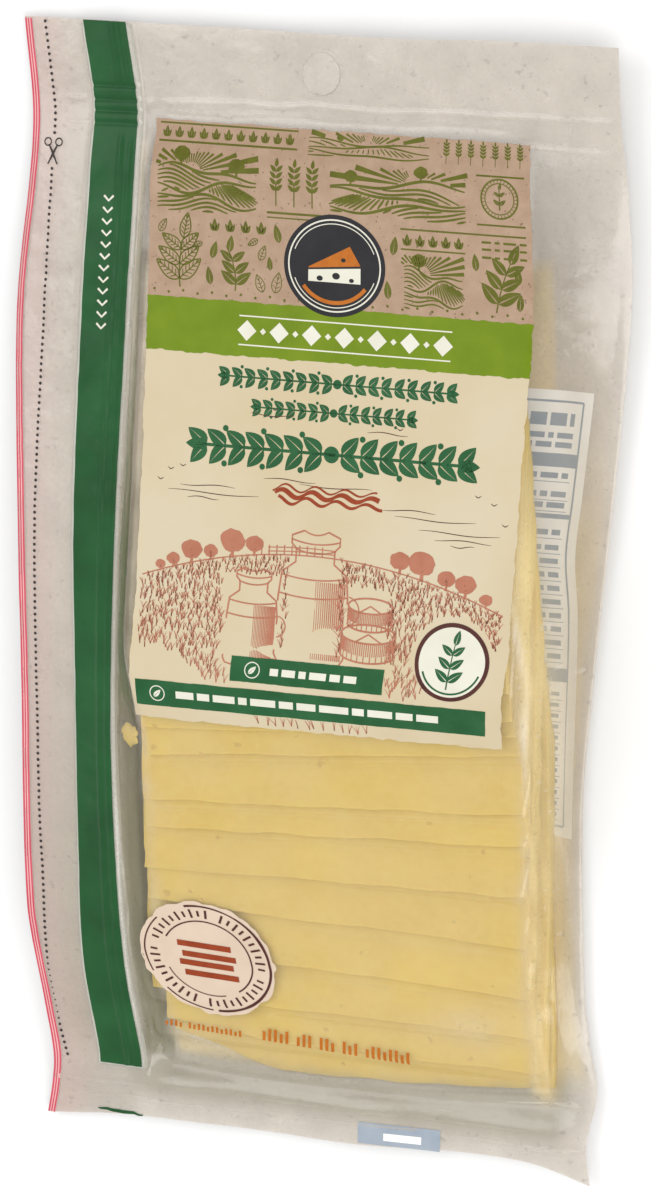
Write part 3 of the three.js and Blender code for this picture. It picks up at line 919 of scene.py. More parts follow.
# Height of each printed layer over its web of film
LIFTS = {
    "print_guide_field": 0.02, "print_green_band": 0.03, "print_guide_lines": 0.035,
    "print_cut_line": 0.04, "print_foot_sliver": 0.045, "print_kraft": 0.05, "print_cream": 0.05,
    "print_foot_mark": 0.05, "print_stamp_field": 0.06, "print_chevrons": 0.06,
    "print_foot_marks": 0.07, "print_foot_label": 0.07, "print_lime": 0.075, "print_olive": 0.08,
    "print_garlands": 0.085, "print_farm": 0.085, "print_sky": 0.087, "print_flourish": 0.09,
    "print_pale_ornament": 0.105, "print_roundel": 0.11, "print_banners": 0.13, "print_seal_ring": 0.13,
    "print_roundel_lines": 0.14, "print_wedge": 0.14, "print_stamp_rings": 0.16,
    "print_stamp_slices": 0.16, "print_wedge_holes": 0.17, "print_seal_field": 0.17,
    "print_banner_marks": 0.18, "print_seal_leaf": 0.21, "rear_panel_lines": 0.012, "rear_panel": 0.03,
    "rear_panel_lines_inside": 0.055,
}


class Ink:
    """Printed shapes of one colour, gathered into one piece that follows a web of film."""

    def __init__(self, name, material, place=label_xy, web=film_front, slot="print"):
        self.name, self.material, self.slot = name, material, slot
        self.place, self.web = place, web
        self.points, self.faces, self.count = [], [], 0

    def add(self, *shapes):
        for shape in shapes:
            if isinstance(shape, list):
                self.add(*shape)
                continue
            flat = self.place(np.asarray(shape, float))
            faces = sheet_faces(*flat.shape[:2])
            x, y = flat.reshape(-1, 2).T
            across, along = x[faces], y[faces]
            area = (across * np.roll(along, -1, 1) - np.roll(across, -1, 1) * along).sum()
            self.faces.append((faces if area > 0 else faces[:, ::-1]) + self.count)
            self.points.append(np.stack([x, y], 1))
            self.count += len(x)

    def finish(self):
        x, y = np.concatenate(self.points).T
        z = self.web(x, y) + LIFTS[self.name]
        piece(self.name, np.stack([x, y, z], 1), np.concatenate(self.faces), self.material)


def printed(name, material, *shapes, place=label_xy):
    """Prints shapes of one colour as one piece."""
    ink = Ink(name, material, place)
    ink.add(*shapes)
    ink.finish()


def level(x0, x1, y, count):
    """Points of a level line."""
    return np.stack([np.linspace(x0, x1, count), np.full(count, y)], 1)


def ribbon(points, width, cells=1):
    """Band along a line, as wide as given, at each point or all along."""
    line = np.asarray(points, float)
    along = np.gradient(line, axis=0)
    side = np.stack([-along[:, 1], along[:, 0]], 1) / np.maximum(np.hypot(*along.T), 1e-9)[:, None]
    wide = np.broadcast_to(width, len(line))
    parts = np.linspace(-0.5, 0.5, cells + 1)
    return line[:, None, :] + side[:, None, :] * wide[:, None, None] * parts[None, :, None]


def taper(n, thick=1.0, thin=0.25):
    """Widths of a stroke that starts and ends thin."""
    return mix(thin, thick, np.sin(np.pi * np.linspace(0, 1, n)) ** 0.7)


def box(a0, b0, a1, b1, cell=1.2, rough=0.0, seed=0):
    """Rectangle in cells, its sides wandering by rough."""
    a = np.linspace(a0, a1, max(2, round((a1 - a0) / cell) + 1))
    b = np.linspace(b0, b1, max(2, round((b1 - b0) / cell) + 1))
    a, b = np.meshgrid(a, b)
    u, v = (a - (a0 + a1) / 2) / ((a1 - a0) / 2), (b - (b0 + b1) / 2) / ((b1 - b0) / 2)
    torn_a = 0.6 * wobble(b, u > 0, 2.3, seed) + 0.4 * wobble(b, u > 0, 0.9, seed + 1)
    torn_b = 0.6 * wobble(a, v > 0, 2.3, seed + 2) + 0.4 * wobble(a, v > 0, 0.9, seed + 3)
    return np.stack([a + rough * torn_a * u ** 9, b + rough * torn_b * v ** 9], 2)


def turned(shape, x, y, angle=0.0, scale=1.0):
    """Moves a shape, or a list of them, to a place."""
    if isinstance(shape, list):
        return [turned(part, x, y, angle, scale) for part in shape]
    c, s = np.cos(np.radians(angle)) * scale, np.sin(np.radians(angle)) * scale
    return np.stack([
        x + shape[..., 0] * c - shape[..., 1] * s, y + shape[..., 0] * s + shape[..., 1] * c,
    ], -1)


def leaf(long, wide, bend=0.0, vein=0.12, cells=7):
    """Leaf from the origin along +X, its two halves parted by a vein."""
    t = np.linspace(0, 1, cells + 1)
    middle = np.stack([long * t, bend * long * t ** 2], 1)
    half = 0.5 * wide * np.sin(np.pi * t ** 0.75) ** 0.85
    gap = np.minimum(vein * wide * (1 - t), half)
    shapes = []
    for side in (1, -1):
        inner = middle + np.stack([np.zeros(len(t)), side * gap / 2], 1)
        outer = middle + np.stack([np.zeros(len(t)), side * half], 1)
        shapes.append(np.stack([inner, (inner + outer) / 2, outer], 1))
    return shapes


def outlined_leaf(long, wide, line=0.32, veins=5):
    """Leaf drawn as an outline with side veins."""
    t = np.linspace(0, 1, 13)
    half = 0.5 * wide * np.sin(np.pi * t ** 0.75) ** 0.85
    shapes = [ribbon(np.stack([long * t, side * half], 1), line) for side in (1, -1)]
    shapes.append(ribbon(np.stack([long * t[::2] * 0.92, 0 * t[::2]], 1), line * 0.8))
    for k in range(1, veins + 1):
        at = k / (veins + 1.5)
        reach = 0.36 * wide * np.sin(np.pi * (at + 0.1) ** 0.75)
        for out in (reach, -reach):
            vein = [(long * at, 0), (long * (at + 0.07), out * 0.55), (long * (at + 0.13), out)]
            shapes.append(ribbon(vein, line * 0.7))
    return shapes


def ring(radius, wide, start=0, end=360, tall=None, sectors=48, rough=0.0):
    """Part of a circular line."""
    angle = np.radians(np.linspace(start, end, sectors + 1))
    line = np.stack([radius * np.cos(angle), (tall or radius) * np.sin(angle)], 1)
    return ribbon(line, wide * (1 + rough * wobble(angle * 9, radius, 2)))


def runs(line, inside):
    """The stretches of a line where inside holds."""
    found, current = [], []
    for point, keep in zip(line, inside):
        if keep:
            current.append(point)
        if current and not keep:
            found.append(current)
            current = []
    return [run for run in found + [current] if len(run) > 2]


def within(line, area):
    x, y = line.T
    return (x > area[0]) & (y > area[1]) & (x < area[2]) & (y < area[3])


def hatch(ink, area, line, thick, mask=None):
    """One drawn line, kept inside an area and where the mask holds."""
    keep = within(line, area)
    if mask is not None:
        keep &= mask(*line.T)
    for run in runs(line, keep):
        ink.add(ribbon(run, thick * taper(len(run), 1.0, 0.45)))


def tree(width, tall):
    """Round crown on a short trunk, standing on the origin."""
    crown = disc_grid(width / 2, 3, 18, 0, tall - width * 0.4, tall=width * 0.4, rough=width * 0.05)
    trunk = [(0, 0), (0.04 * width, tall * 0.35), (0, tall * 0.6)]
    return [crown, ribbon(trunk, [0.16 * width, 0.1 * width, 0.12 * width])]


def field_tile(ink, area, sun, seed, thick=0.55, gap=0.98, crowns=2):
    """Landscape of hatched fields under a fan of sun rays."""
    x0, y0, x1, y1 = area
    wide, tall = x1 - x0, y1 - y0
    xs = np.linspace(x0, x1, max(8, round(wide / 0.7)))

    def hill(step, x):
        along = (x - x0) / wide
        lift = 0.09 * np.sin(along * 5 + seed + step * 3) + 0.05 * np.sin(along * 11 + step)
        return y0 + tall * (0.66 - 0.23 * step + lift)

    centre = (mix(x0, x1, sun), hill(0, mix(x0, x1, sun)) - 0.8)
    for angle in np.radians(np.arange(5, 178, 9)):
        r = np.linspace(2.4, wide + tall, 60)
        ray = np.stack([centre[0] + r * np.cos(angle), centre[1] + r * np.sin(angle)], 1)
        for run in runs(ray, within(ray, area) & (ray[:, 1] > hill(0, ray[:, 0]) + 0.5)):
            ink.add(ribbon(run, np.minimum(0.085 * np.hypot(*(np.array(run) - centre).T), 1.3)))
    t = np.linspace(0, 1, 22)
    for step in range(3):
        def on_field(x, y, n=step):
            return (y < hill(n, x) - 0.35) & (y > hill(n + 1, x) + 0.4)

        hatch(ink, area, np.stack([xs, hill(step, xs)], 1), thick * 1.25)
        for k in range(1, 26):
            if step == 1:
                far = mix(x0, x1, 0.5 + 0.02 * (k - 13))
                near = mix(x0 - wide * 0.5, x1 + wide * 0.5, k / 26)
                line = np.stack([mix(far, near, t), mix(hill(1, xs.mean()) + 1, y0 - 2, t)], 1)
            else:
                slant = 0.16 * (xs - x0) if step else 0.16 * (wide / 2 - (xs - x0))
                line = np.stack([xs, hill(step, xs) - k * gap + slant], 1)
            hatch(ink, area, line, thick, on_field)
    for k in range(crowns):
        x = mix(x0, x1, 0.22 + 0.5 * k + 0.06 * np.sin(seed + k))
        size = 0.3 * tall
        if x0 + size / 2 < x < x1 - size / 2:
            ink.add(turned(tree(size, size * 1.05), x, hill(0, x) - 0.2))


def wheat(tall, grains=4):
    """Ear of wheat standing on the origin."""
    shapes = [ribbon([(0, 0), (0, tall * 0.5), (0, tall)], 0.03 * tall)]
    for k in range(grains):
        y = tall * (0.36 + 0.6 * k / grains)
        for side in (1, -1):
            shapes += turned(leaf(tall * 0.23, tall * 0.1, vein=0, cells=4), 0, y, 90 - side * 46)
    return shapes + turned(leaf(tall * 0.22, tall * 0.1, vein=0, cells=4), 0, tall * 0.92, 90)


def sprig(tall, pairs, wide, make, bend=0.25):
    """Stem standing on the origin with pairs of leaves and one at its tip."""
    t = np.linspace(0, 1, 9)
    stem = np.stack([bend * tall * t ** 2, tall * t], 1)
    shapes = [ribbon(stem, 0.3 * mix(1.2, 0.7, t))]
    for k in range(pairs):
        at = (k + 0.6) / (pairs + 0.4)
        x, y = bend * tall * at ** 2, tall * at
        size = wide * mix(1.0, 0.72, at)
        for side in (1, -1):
            shapes += turned(make(size, size * 0.46), x, y, 90 - side * 52 - 20 * bend)
    return shapes + turned(make(wide * 0.8, wide * 0.36), stem[-1][0], tall * 0.98, 78 - 30 * bend)


def row_of(make, count, x0, x1, y, *more):
    """Repeats a motif evenly along a line."""
    shapes = []
    for k in range(count):
        shapes += turned(make(*more), mix(x0, x1, (k + 0.5) / count), y)
    return shapes


def bud(tall):
    """Three-leaf motif standing on the origin."""
    shapes = turned(leaf(tall, tall * 0.42, cells=8), 0, 0, 90)
    for side in (1, -1):
        shapes += turned(leaf(tall * 0.72, tall * 0.34, bend=side * 0.25), 0, tall * 0.02, 90 - side * 48)
    return shapes


def garland(ink, a0, a1, b, tall, count):
    """Row of rounded leaves in pairs along a straight stem, from both ends to a berry in the middle."""
    middle, half = (a0 + a1) / 2, (a1 - a0) / 2 - 0.5 * tall
    ink.add(ribbon(level(a0, a1, b, 40), 0.075 * tall), disc_grid(0.2 * tall, 3, 18, middle, b))
    for way in (1, -1):
        for k in range(count):
            x = middle + way * mix(0.26 * tall, half, k / (count - 1))
            for side in (1, -1):
                ink.add(turned(leaf(0.62 * tall, 0.36 * tall, 0.1, 0.08), x, b, side * (90 - way * 48)))
                if k % 2:
                    ink.add(disc_grid(0.075 * tall, 2, 10, x + way * 0.02 * tall, b + side * 0.42 * tall))
        ink.add(turned(leaf(0.55 * tall, 0.3 * tall, 0, 0.08), middle + way * half, b, 90 - way * 90))


def pickets(words, x0, x1, y0, y1, tall):
    """Short upright bars in groups, on a line that falls from y0 to y1."""
    total = sum(words) + len(words) - 1
    shapes, at = [], 0
    for word in words:
        for _ in range(word):
            t = (at + 0.5) / total
            x, y = mix(x0, x1, t), mix(y0, y1, t)
            high = tall * (1.0 if at % 3 else 0.72)
            wide = 0.52 * (x1 - x0) / total
            shapes.append(box(x - wide / 2, y, x + wide / 2, y + high, 0.6))
            at += 1
        at += 1
    return shapes


def dashes(words, x0, y, tall, gap=0.9):
    """Plain bars of differing lengths on one line."""
    shapes, x = [], x0
    for length in words:
        shapes.append(box(x, y, x + length, y + tall, 1.0))
        x += length + gap
    return shapes


kraft_look = ink_material("kraft_print", (174, 147, 124), (163, 135, 112), 4, 0.25, (192, 168, 146), 0.55)
olive_look = ink_material("olive_ink", (98, 100, 30), (86, 88, 22), 3, 0.25, (130, 120, 66))
lime_look = ink_material("lime_ink", (113, 136, 20), (103, 126, 14), 9, 0.1, (134, 156, 50))
cream_look = ink_material("cream_ink", (204, 192, 165), (199, 182, 148), 34, 0.1, (216, 205, 182))
coal_look = ink_material("charcoal_ink", (42, 41, 44), (34, 33, 36), 8, 0.08, (70, 66, 62))
pale_look = ink_material("pale_ink", (222, 220, 206), (214, 211, 194), 8)
green_look = ink_material("green_ink", (42, 94, 56), (32, 82, 46), 7, 0.12, (66, 110, 74))
band_look = ink_material(
    "band_green_ink", (31, 88, 45), (23, 72, 34), 16, 0.06, (52, 106, 64), gloss=0.34, shine=0.22,
)
brown_look = ink_material("field_brown_ink", (178, 118, 94), (168, 106, 82), 5)
rust_look = ink_material("rust_ink", (148, 64, 34), (136, 55, 26), 3, 0.25, (170, 90, 56))
umber_look = ink_material("umber_ink", (84, 48, 42), (72, 38, 34), 3)
badge_look = ink_material("badge_cream_ink", (214, 194, 174), (207, 186, 165), 10, 0.15, (224, 208, 190))
orange_look = ink_material("orange_ink", (186, 108, 34), (174, 96, 26), 2, 0.2, (196, 132, 66))
red_look = ink_material("red_ink", (206, 84, 100), (196, 72, 90), 9)
pink_look = ink_material("pink_ink", (226, 176, 174), (220, 164, 164), 9)
dot_look = ink_material("dot_ink", (62, 56, 54), (52, 46, 44), 3)
panel_look = ink_material("panel_white", (251, 250, 246), (245, 243, 238), 14, 0.1, (253, 252, 250))
blue_look = ink_material("blue_grey_ink", (160, 170, 180), (149, 160, 172), 5)

LIME_FOOT, LIME_HEAD = 85.5, 97.8


def print_label():
    head = box(0, LIME_HEAD - 0.5, LABEL_WIDE, LABEL_TALL, 0.8, 0.3, 3)
    printed("print_kraft", kraft_look, head)
    printed("print_cream", cream_look, box(0, 0, LABEL_WIDE, LIME_FOOT + 0.5, 0.8, 0.42, 5))
    printed("print_lime", lime_look, box(0, LIME_FOOT, LABEL_WIDE, LIME_HEAD, 0.6, 0.4, 9))


LEAVES = (                      # x, y, length, direction in degrees
    (15.6, 101.2, 4.2, 100), (15.8, 107.2, 4.2, 75), (32.6, 111.8, 4.4, 104), (30.4, 105.4, 3.2, 96),
    (59.4, 101, 4.2, 96), (60.4, 111, 4.4, 80), (80.6, 108.8, 4.0, 96), (90.9, 100.4, 4.0, 86),
    (90.8, 106.4, 4.0, 98),
)
OUTLINED_LEAVES = (
    (27.8, 107.6, 3.6, 70), (13.4, 110.6, 2.6, 200), (2.6, 112.6, 3.4, 60), (27.2, 112.2, 2.8, 210),
    (28.6, 100.4, 4.2, 112), (31.6, 100.4, 4.8, 78),
)
COUNTRY_RULES = (               # x and y of the lower left corner, then of the upper right
    (1.2, 133, 36.5, 133.45), (1.2, 137.1, 36.5, 137.5), (29.5, 118.4, 43, 118.9),
    (29.5, 117.4, 43, 117.7), (81, 119.2, 92.6, 119.6), (81, 130.2, 92.6, 130.6),
    (62.4, 112.4, 78, 112.75), (62.4, 116.9, 92.6, 117.3),
)
MEDAL_X, MEDAL_Y = 86.6, 125.4


def print_country():
    """Olive country patterns on the kraft field: tiles, ears of wheat, sprigs and rules."""
    olive = Ink("print_olive", olive_look)
    olive.add([box(*corners) for corners in COUNTRY_RULES])
    field_tile(olive, (38.5, 131.9, 70, 137.6), 0.5, 2.0, 0.34, 0.8, 1)
    field_tile(olive, (1.2, 117.6, 27.5, 131.3), 0.35, 0.4)
    field_tile(olive, (44.5, 119.2, 79, 130.4), 0.62, 4.2)
    field_tile(olive, (62.4, 99.2, 78, 111.4), 0.3, 1.1, 0.4, 0.9, 1)
    olive.add(row_of(wheat, 7, 72, 93, 132.4, 5.0), row_of(wheat, 3, 29.5, 43, 120.2, 9.6))
    olive.add(row_of(bud, 11, 1.5, 36, 134.1, 2.6), row_of(bud, 4, 14.5, 30, 113.5, 2.9))
    olive.add(row_of(bud, 5, 62.4, 78, 113.4, 2.7))
    olive.add(turned([ring(4.4, 0.4), ring(3.5, 0.25)], MEDAL_X, MEDAL_Y))
    olive.add(turned(sprig(4.6, 2, 2.1, leaf, 0), MEDAL_X, MEDAL_Y - 2.5))
    for k in range(30):
        olive.add(turned(ribbon([(3.72, 0), (3.95, 0), (4.2, 0)], 0.16), MEDAL_X, MEDAL_Y, 12 * k))
    for x, y, size, angle in LEAVES:
        olive.add(turned(leaf(size, size * 0.42), x, y, angle))
    for x, y, size, angle in OUTLINED_LEAVES:
        olive.add(turned(outlined_leaf(size, size * 0.5, 0.2, 3), x, y, angle))
    olive.add(turned(sprig(11.2, 3, 7.4, outlined_leaf, 0.2), 8.0, 100.2, 8))
    olive.add(turned(sprig(8.6, 3, 5.0, leaf, -0.3), 21.8, 100.2, -6))
    olive.add(turned(sprig(11.5, 3, 6.4, leaf, 0.15), 85.4, 99.8, -8))
    for y in (111.8, 113.6, 115.2):
        olive.add(dashes((2.2, 1.2, 3.0, 1.6), 82, y, 0.5))
    for k in range(26):
        olive.add(disc_grid(0.32, 1, 8, 1.6 + 3.6 * k, 98.9 if k % 2 else 99.4))
    olive.finish()


ROUNDEL_X, ROUNDEL_Y = 46.2, 107.6
WEDGE_HOLES = ((-3.6, -3, 0.75), (0.4, -2.3, 0.95), (4.2, -3.1, 0.6), (2.2, 1.4, 0.6))  # x, y, size


def slab(lower, upper):
    """Four-sided field between a lower and an upper line, each given by its ends."""
    return np.stack([np.linspace(*lower, 12), np.linspace(*upper, 12)], 1)


def print_badge():
    """Charcoal roundel with a plain wedge of cheese."""
    x, y = ROUNDEL_X, ROUNDEL_Y
    printed("print_roundel", coal_look, disc_grid(12.4, 12, 72, x, y, tall=11.6))
    lines = [ring(11.2, 0.35, tall=10.4, sectors=72)]
    lines.append(slab(((-6.4, -3.8), (6.4, -3.8)), ((-6.4, -1.2), (6.4, -0.2))))
    lines += [ring(10.3, 0.22, start, start + 140, tall=9.5) for start in (200, 20)]
    printed("print_roundel_lines", pale_look, turned(lines, x, y))
    top = slab(((-6.4, -0.8), (6.4, 0.3)), ((-6.3, -0.5), (3.8, 4.6)))
    arc = ring(9.2, 0.9, 215, 325, tall=8.4, sectors=30)
    printed("print_wedge", orange_look, turned([top, arc], x, y))
    holes = [disc_grid(size, 2, 14, x + hx, y + hy, tall=size * 0.8) for hx, hy, size in WEDGE_HOLES]
    printed("print_wedge_holes", coal_look, holes)


GARLANDS = (                    # x of both ends, y, height, pairs of leaves on each side
    (18.5, 77.5, 80.8, 5.4, 9), (27, 68, 74.2, 4.8, 7), (11.5, 83.5, 64.8, 9.6, 7),
)
BRUSH_STROKES = ((0.0, 0.0, 1.2), (0.9, -1.5, 0.8), (-0.6, 1.3, 0.5))  # shift along and up, width


def print_ornaments():
    """Pale ornament on the lime band, leaf garlands and a brushed flourish on the cream."""
    pale = [ribbon(level(23, 75, y, 30), 0.32) for y in (88.1, 94.7)]
    for k in range(13):
        size, scale = (0.75, 0.72) if k % 2 else (2.1, 0.8)
        pale.append(turned(box(-size, -size, size, size, 0.5), mix(25, 73, k / 12), 91.4, 45, scale))
    printed("print_pale_ornament", pale_look, pale)
    green = Ink("print_garlands", green_look)
    for size in GARLANDS:
        garland(green, *size)
    green.finish()
    strokes = []
    t = np.linspace(0, 1, 60)
    for shift, rise, thick in BRUSH_STROKES:
        y = 55.2 + rise + 0.9 * np.sin(t * 22 + shift * 2) * (1 - 0.4 * t)
        wide = thick * (0.55 + 0.45 * np.abs(np.sin(t * 11 + shift)))
        strokes.append(ribbon(np.stack([mix(34, 60, t) + shift, y], 1), wide))
    printed("print_flourish", rust_look, strokes)


def horizon(x):
    """Line of the far edge of the printed field."""
    return 41.5 - 0.0042 * (x - 44) ** 2


def grass(ink, x, y, tall):
    for lean in rng.normal(0, 0.35, 3):
        t = np.linspace(0, 1, 4)
        line = np.stack([x + lean * tall * t ** 1.5, y + tall * t], 1)
        ink.add(ribbon(line, 0.25 * (1 - 0.7 * t)))


def churn(tall):
    """Milk churn standing on the origin, hatched on its right side."""
    levels = np.array([0, 0.05, 0.5, 0.68, 0.76, 0.86, 0.9, 0.96, 1.0])
    radii = np.array([0.26, 0.29, 0.29, 0.27, 0.16, 0.16, 0.2, 0.2, 0.1])
    side = np.stack([radii, levels], 1) * tall
    shapes = [ribbon(side, 0.42), ribbon(side * (-1, 1), 0.42)]
    for at, half in ((0.0, 0.26), (0.52, 0.29), (0.66, 0.27), (0.86, 0.17), (0.93, 0.2), (1.0, 0.1)):
        t = np.linspace(-1, 1, 9)
        line = np.stack([half * tall * t, tall * (at - 0.03 * (1 - t ** 2))], 1)
        shapes.append(ribbon(line, 0.34))
    for k in range(15):
        x = mix(0.02, 0.26, k / 14) * tall
        shapes.append(ribbon([(x, 0.03 * tall), (x + 0.1, 0.3 * tall), (x, 0.62 * tall)], 0.16 + 0.016 * k))
    return shapes + turned([ring(0.11 * tall, 0.3, -80, 80)], 0.28 * tall, 0.42 * tall)


def wheel(wide, tall):
    """Cheese wheel on its side, a wedge cut out, hatched round its rim."""
    t = np.linspace(0, 2 * np.pi, 40)
    half = wide / 2
    shapes = [ribbon(np.stack([half * np.cos(t), tall + 0.32 * half * np.sin(t)], 1), 0.42)]
    lower = np.linspace(np.pi, 2 * np.pi, 24)
    shapes.append(ribbon(np.stack([half * np.cos(lower), 0.32 * half * np.sin(lower) + 0.1], 1), 0.42))
    for k in range(40):
        angle = np.pi + np.pi * (k + 0.5) / 40
        x, y = half * np.cos(angle), 0.32 * half * np.sin(angle)
        low = 0.35 if k % 3 else 0.05
        shapes.append(ribbon([(x, y + low * tall), (x, y + 0.7 * tall), (x, y + 0.96 * tall)], 0.24))
    for end in (-60, -118):
        a = np.radians(end)
        line = [(0, tall), (0.5 * half * np.cos(a), tall + 0.16 * half * np.sin(a)),
                (half * np.cos(a), tall + 0.32 * half * np.sin(a))]
        shapes.append(ribbon(line, 0.34))
    return shapes


TREES = (                       # x, size
    (6, 2.6), (9.2, 3.4), (13.8, 5.4), (18.6, 3.6), (24, 6.4), (29.6, 4.6), (66, 5.0), (71.4, 6.6),
    (77.6, 4.4), (82.4, 5.2), (87.6, 3.2),
)
KEPT_FREE = ((30, 14, 15, 22), (45, 17, 13, 30), (58.5, 15, 11, 20))  # middle x, foot y, width, height
CLOUD_LINES = (                 # x of both ends, y
    (27, 38, 72.6), (56, 66, 70.6), (10, 24, 55.4), (7, 30, 53.8), (12, 20, 52.6), (61, 74, 53.6),
    (64, 84, 52.0), (70, 90, 49.4), (74, 88, 47.8), (78, 84, 46.6), (31, 44, 58.2), (40, 58, 57.4),
)
BIRDS = ((5, 56), (7.5, 58.5), (10.5, 59.4), (88, 56.5), (91, 52), (84, 58), (33, 73.8), (64, 71.6))
SEAL_X, SEAL_Y = 80.6, 20.4


def free(x, y):
    """True where grass may grow: clear of the churns, the wheels, the seal and the banners."""
    blocked = any(abs(x - cx) < w / 2 and cy - 1 < y < cy + h for cx, cy, w, h in KEPT_FREE)
    return not blocked and np.hypot(x - SEAL_X, y - SEAL_Y) > 10.2 and not (y < 18.4 and 25 < x < 65)


def print_farm():
    """Brown line drawing: a field of grass, trees, a fence, churns and wheels of cheese."""
    brown = Ink("print_farm", brown_look)
    xs = np.linspace(1.5, 92, 110)
    brown.add(ribbon(np.stack([xs, horizon(xs)], 1), 0.3))
    for x, size in TREES:
        brown.add(turned(tree(size, size * 1.02), x, horizon(x) - 0.3))
    for x in 31.5 + 1.9 * np.arange(9):
        brown.add(ribbon([(x, horizon(x) + rise) for rise in (0, 1.2, 2.2)], 0.3))
    for rise in (0.8, 1.7):
        brown.add(ribbon(np.stack([xs[38:59], horizon(xs[38:59]) + rise], 1), 0.24))
    for depth in np.arange(0, 31.5, 0.78):
        share = depth / 31
        for x in np.arange(1.5 + rng.random(), 92, mix(1.0, 1.7, share)):
            x = x + rng.normal(0, 0.3)
            y = horizon(x) - 1.2 - depth + rng.normal(0, 0.35)
            foot = 10 + 20 * smooth((depth - 6) / 24) * smooth((22 - x) / 20) + 14 * smooth((x - 70) / 24)
            if 1.2 < x < 92.4 and y > foot and free(x, y) and rng.random() > 0.12 + 0.26 * share:
                grass(brown, x, y, 1.25 + 0.035 * depth)
    for x in np.arange(33, 62, 2.1):
        grass(brown, x + rng.normal(0, 0.4), 0.5 + 0.6 * rng.random(), 2.2)
    brown.add(turned(churn(30), 45, 17.2), turned(churn(22), 30, 15.6))
    brown.add(turned(wheel(13.5, 4.6), 59.5, 20.4), turned(wheel(11, 4.2), 59.5, 27.2))
    brown.finish()
    sky = Ink("print_sky", umber_look)
    t = np.linspace(0, 1, 14)
    for x0, x1, y in CLOUD_LINES:
        sky.add(ribbon(np.stack([mix(x0, x1, t), y + 0.25 * np.sin(t * 6 + x0)], 1), 0.2 * taper(14)))
    t = np.linspace(-1, 1, 7)
    for x, y in BIRDS:
        sky.add(ribbon(np.stack([x + 0.8 * t, y + 0.5 * np.abs(t) ** 1.3], 1), 0.22 * taper(7)))
    sky.finish()


def print_banners():
    """Two green banners with leaf marks and plain bars, and a round seal."""
    banners = [box(26, 11.3, 64.4, 17.3, 0.9, 0.12, 21), box(1.6, 3.2, 90, 9.6, 0.9, 0.12, 23)]
    printed("print_banners", green_look, banners)
    marks = []
    for x, y in ((31.5, 14.3), (7.2, 6.4)):
        marks += [turned(ring(1.85, 0.26, sectors=24), x, y), turned(leaf(2.6, 1.2), x - 0.9, y - 0.9, 45)]
    marks += dashes((2.1, 3.4, 1.8, 4.2, 2.6, 3.2), 36, 13.4, 1.7)
    marks += dashes((4.6, 3.2, 5.6, 2.2, 6.4, 3.6, 4.8, 7.4, 3.0, 6.2, 4.2, 5.4), 12, 5.5, 1.8)
    printed("print_banner_marks", pale_look, marks)
    x, y = SEAL_X, SEAL_Y
    printed("print_seal_ring", umber_look, disc_grid(9.1, 8, 64, x, y))
    printed("print_seal_field", pale_look, disc_grid(8.1, 8, 56, x, y))
    plant = turned(sprig(10.5, 3, 4.6, leaf, 0.1), x - 0.6, y - 6.3)
    printed("print_seal_leaf", green_look, plant, turned(ring(7.3, 0.45, 200, 340, sectors=30), x, y))


print_label()
print_country()
print_badge()
print_ornaments()
print_farm()
print_banners()


def plain_xy(shape):
    return shape


def stamp_xy(shape):
    """Stamp places, in parts of its half width and half height, to the bag's x and y."""
    return turned(shape * (STAMP_WIDE, STAMP_TALL), STAMP_X, STAMP_Y, STAMP_TURN)


def print_stamp():
    """Oval stamp below the label: rings, ticks and a little stack of slices."""
    printed("print_stamp_field", badge_look, disc_grid(1.0, 20, 90, rough=0.035), place=stamp_xy)
    lines = [
        ring(0.93, 0.035, -75, 118, sectors=70, rough=0.5), ring(0.93, 0.02, 150, 215, sectors=24),
        ring(0.93, 0.022, 235, 280, sectors=20), ring(0.66, 0.022, -40, 165, sectors=60),
        ring(0.66, 0.016, 215, 300, sectors=30),
    ]
    for k in range(44):
        if k % 11:
            long = 0.05 if k % 2 else 0.075
            tick = ribbon([(0.795 - long, 0), (0.795, 0), (0.795 + long, 0)], 0.034)
            lines.append(turned(tick, 0, 0, 360 * k / 44))
    printed("print_stamp_rings", umber_look, lines, place=stamp_xy)
    slices = []
    for k in range(4):
        low = -0.34 + 0.17 * k
        slices.append(turned(box(-0.4, low, 0.4, low + 0.1, 0.08), 0.03 * (-1) ** k, 0, 12))
    printed("print_stamp_slices", rust_look, slices, place=stamp_xy)
    marks = pickets((4, 12), -38.4, -17.6, -107.6, -108.6, 1.5)
    marks += pickets((5, 3, 3, 3, 8), -12.6, 26.6, -108.6, -110.6, 3.0)
    printed("print_foot_marks", orange_look, marks, place=plain_xy)


SCISSORS_Y = 103.2
GUIDE_LINES = ((0.3, 0.5), (1.05, 0.36), (1.8, 0.42))  # distance from the bag's left edge, width


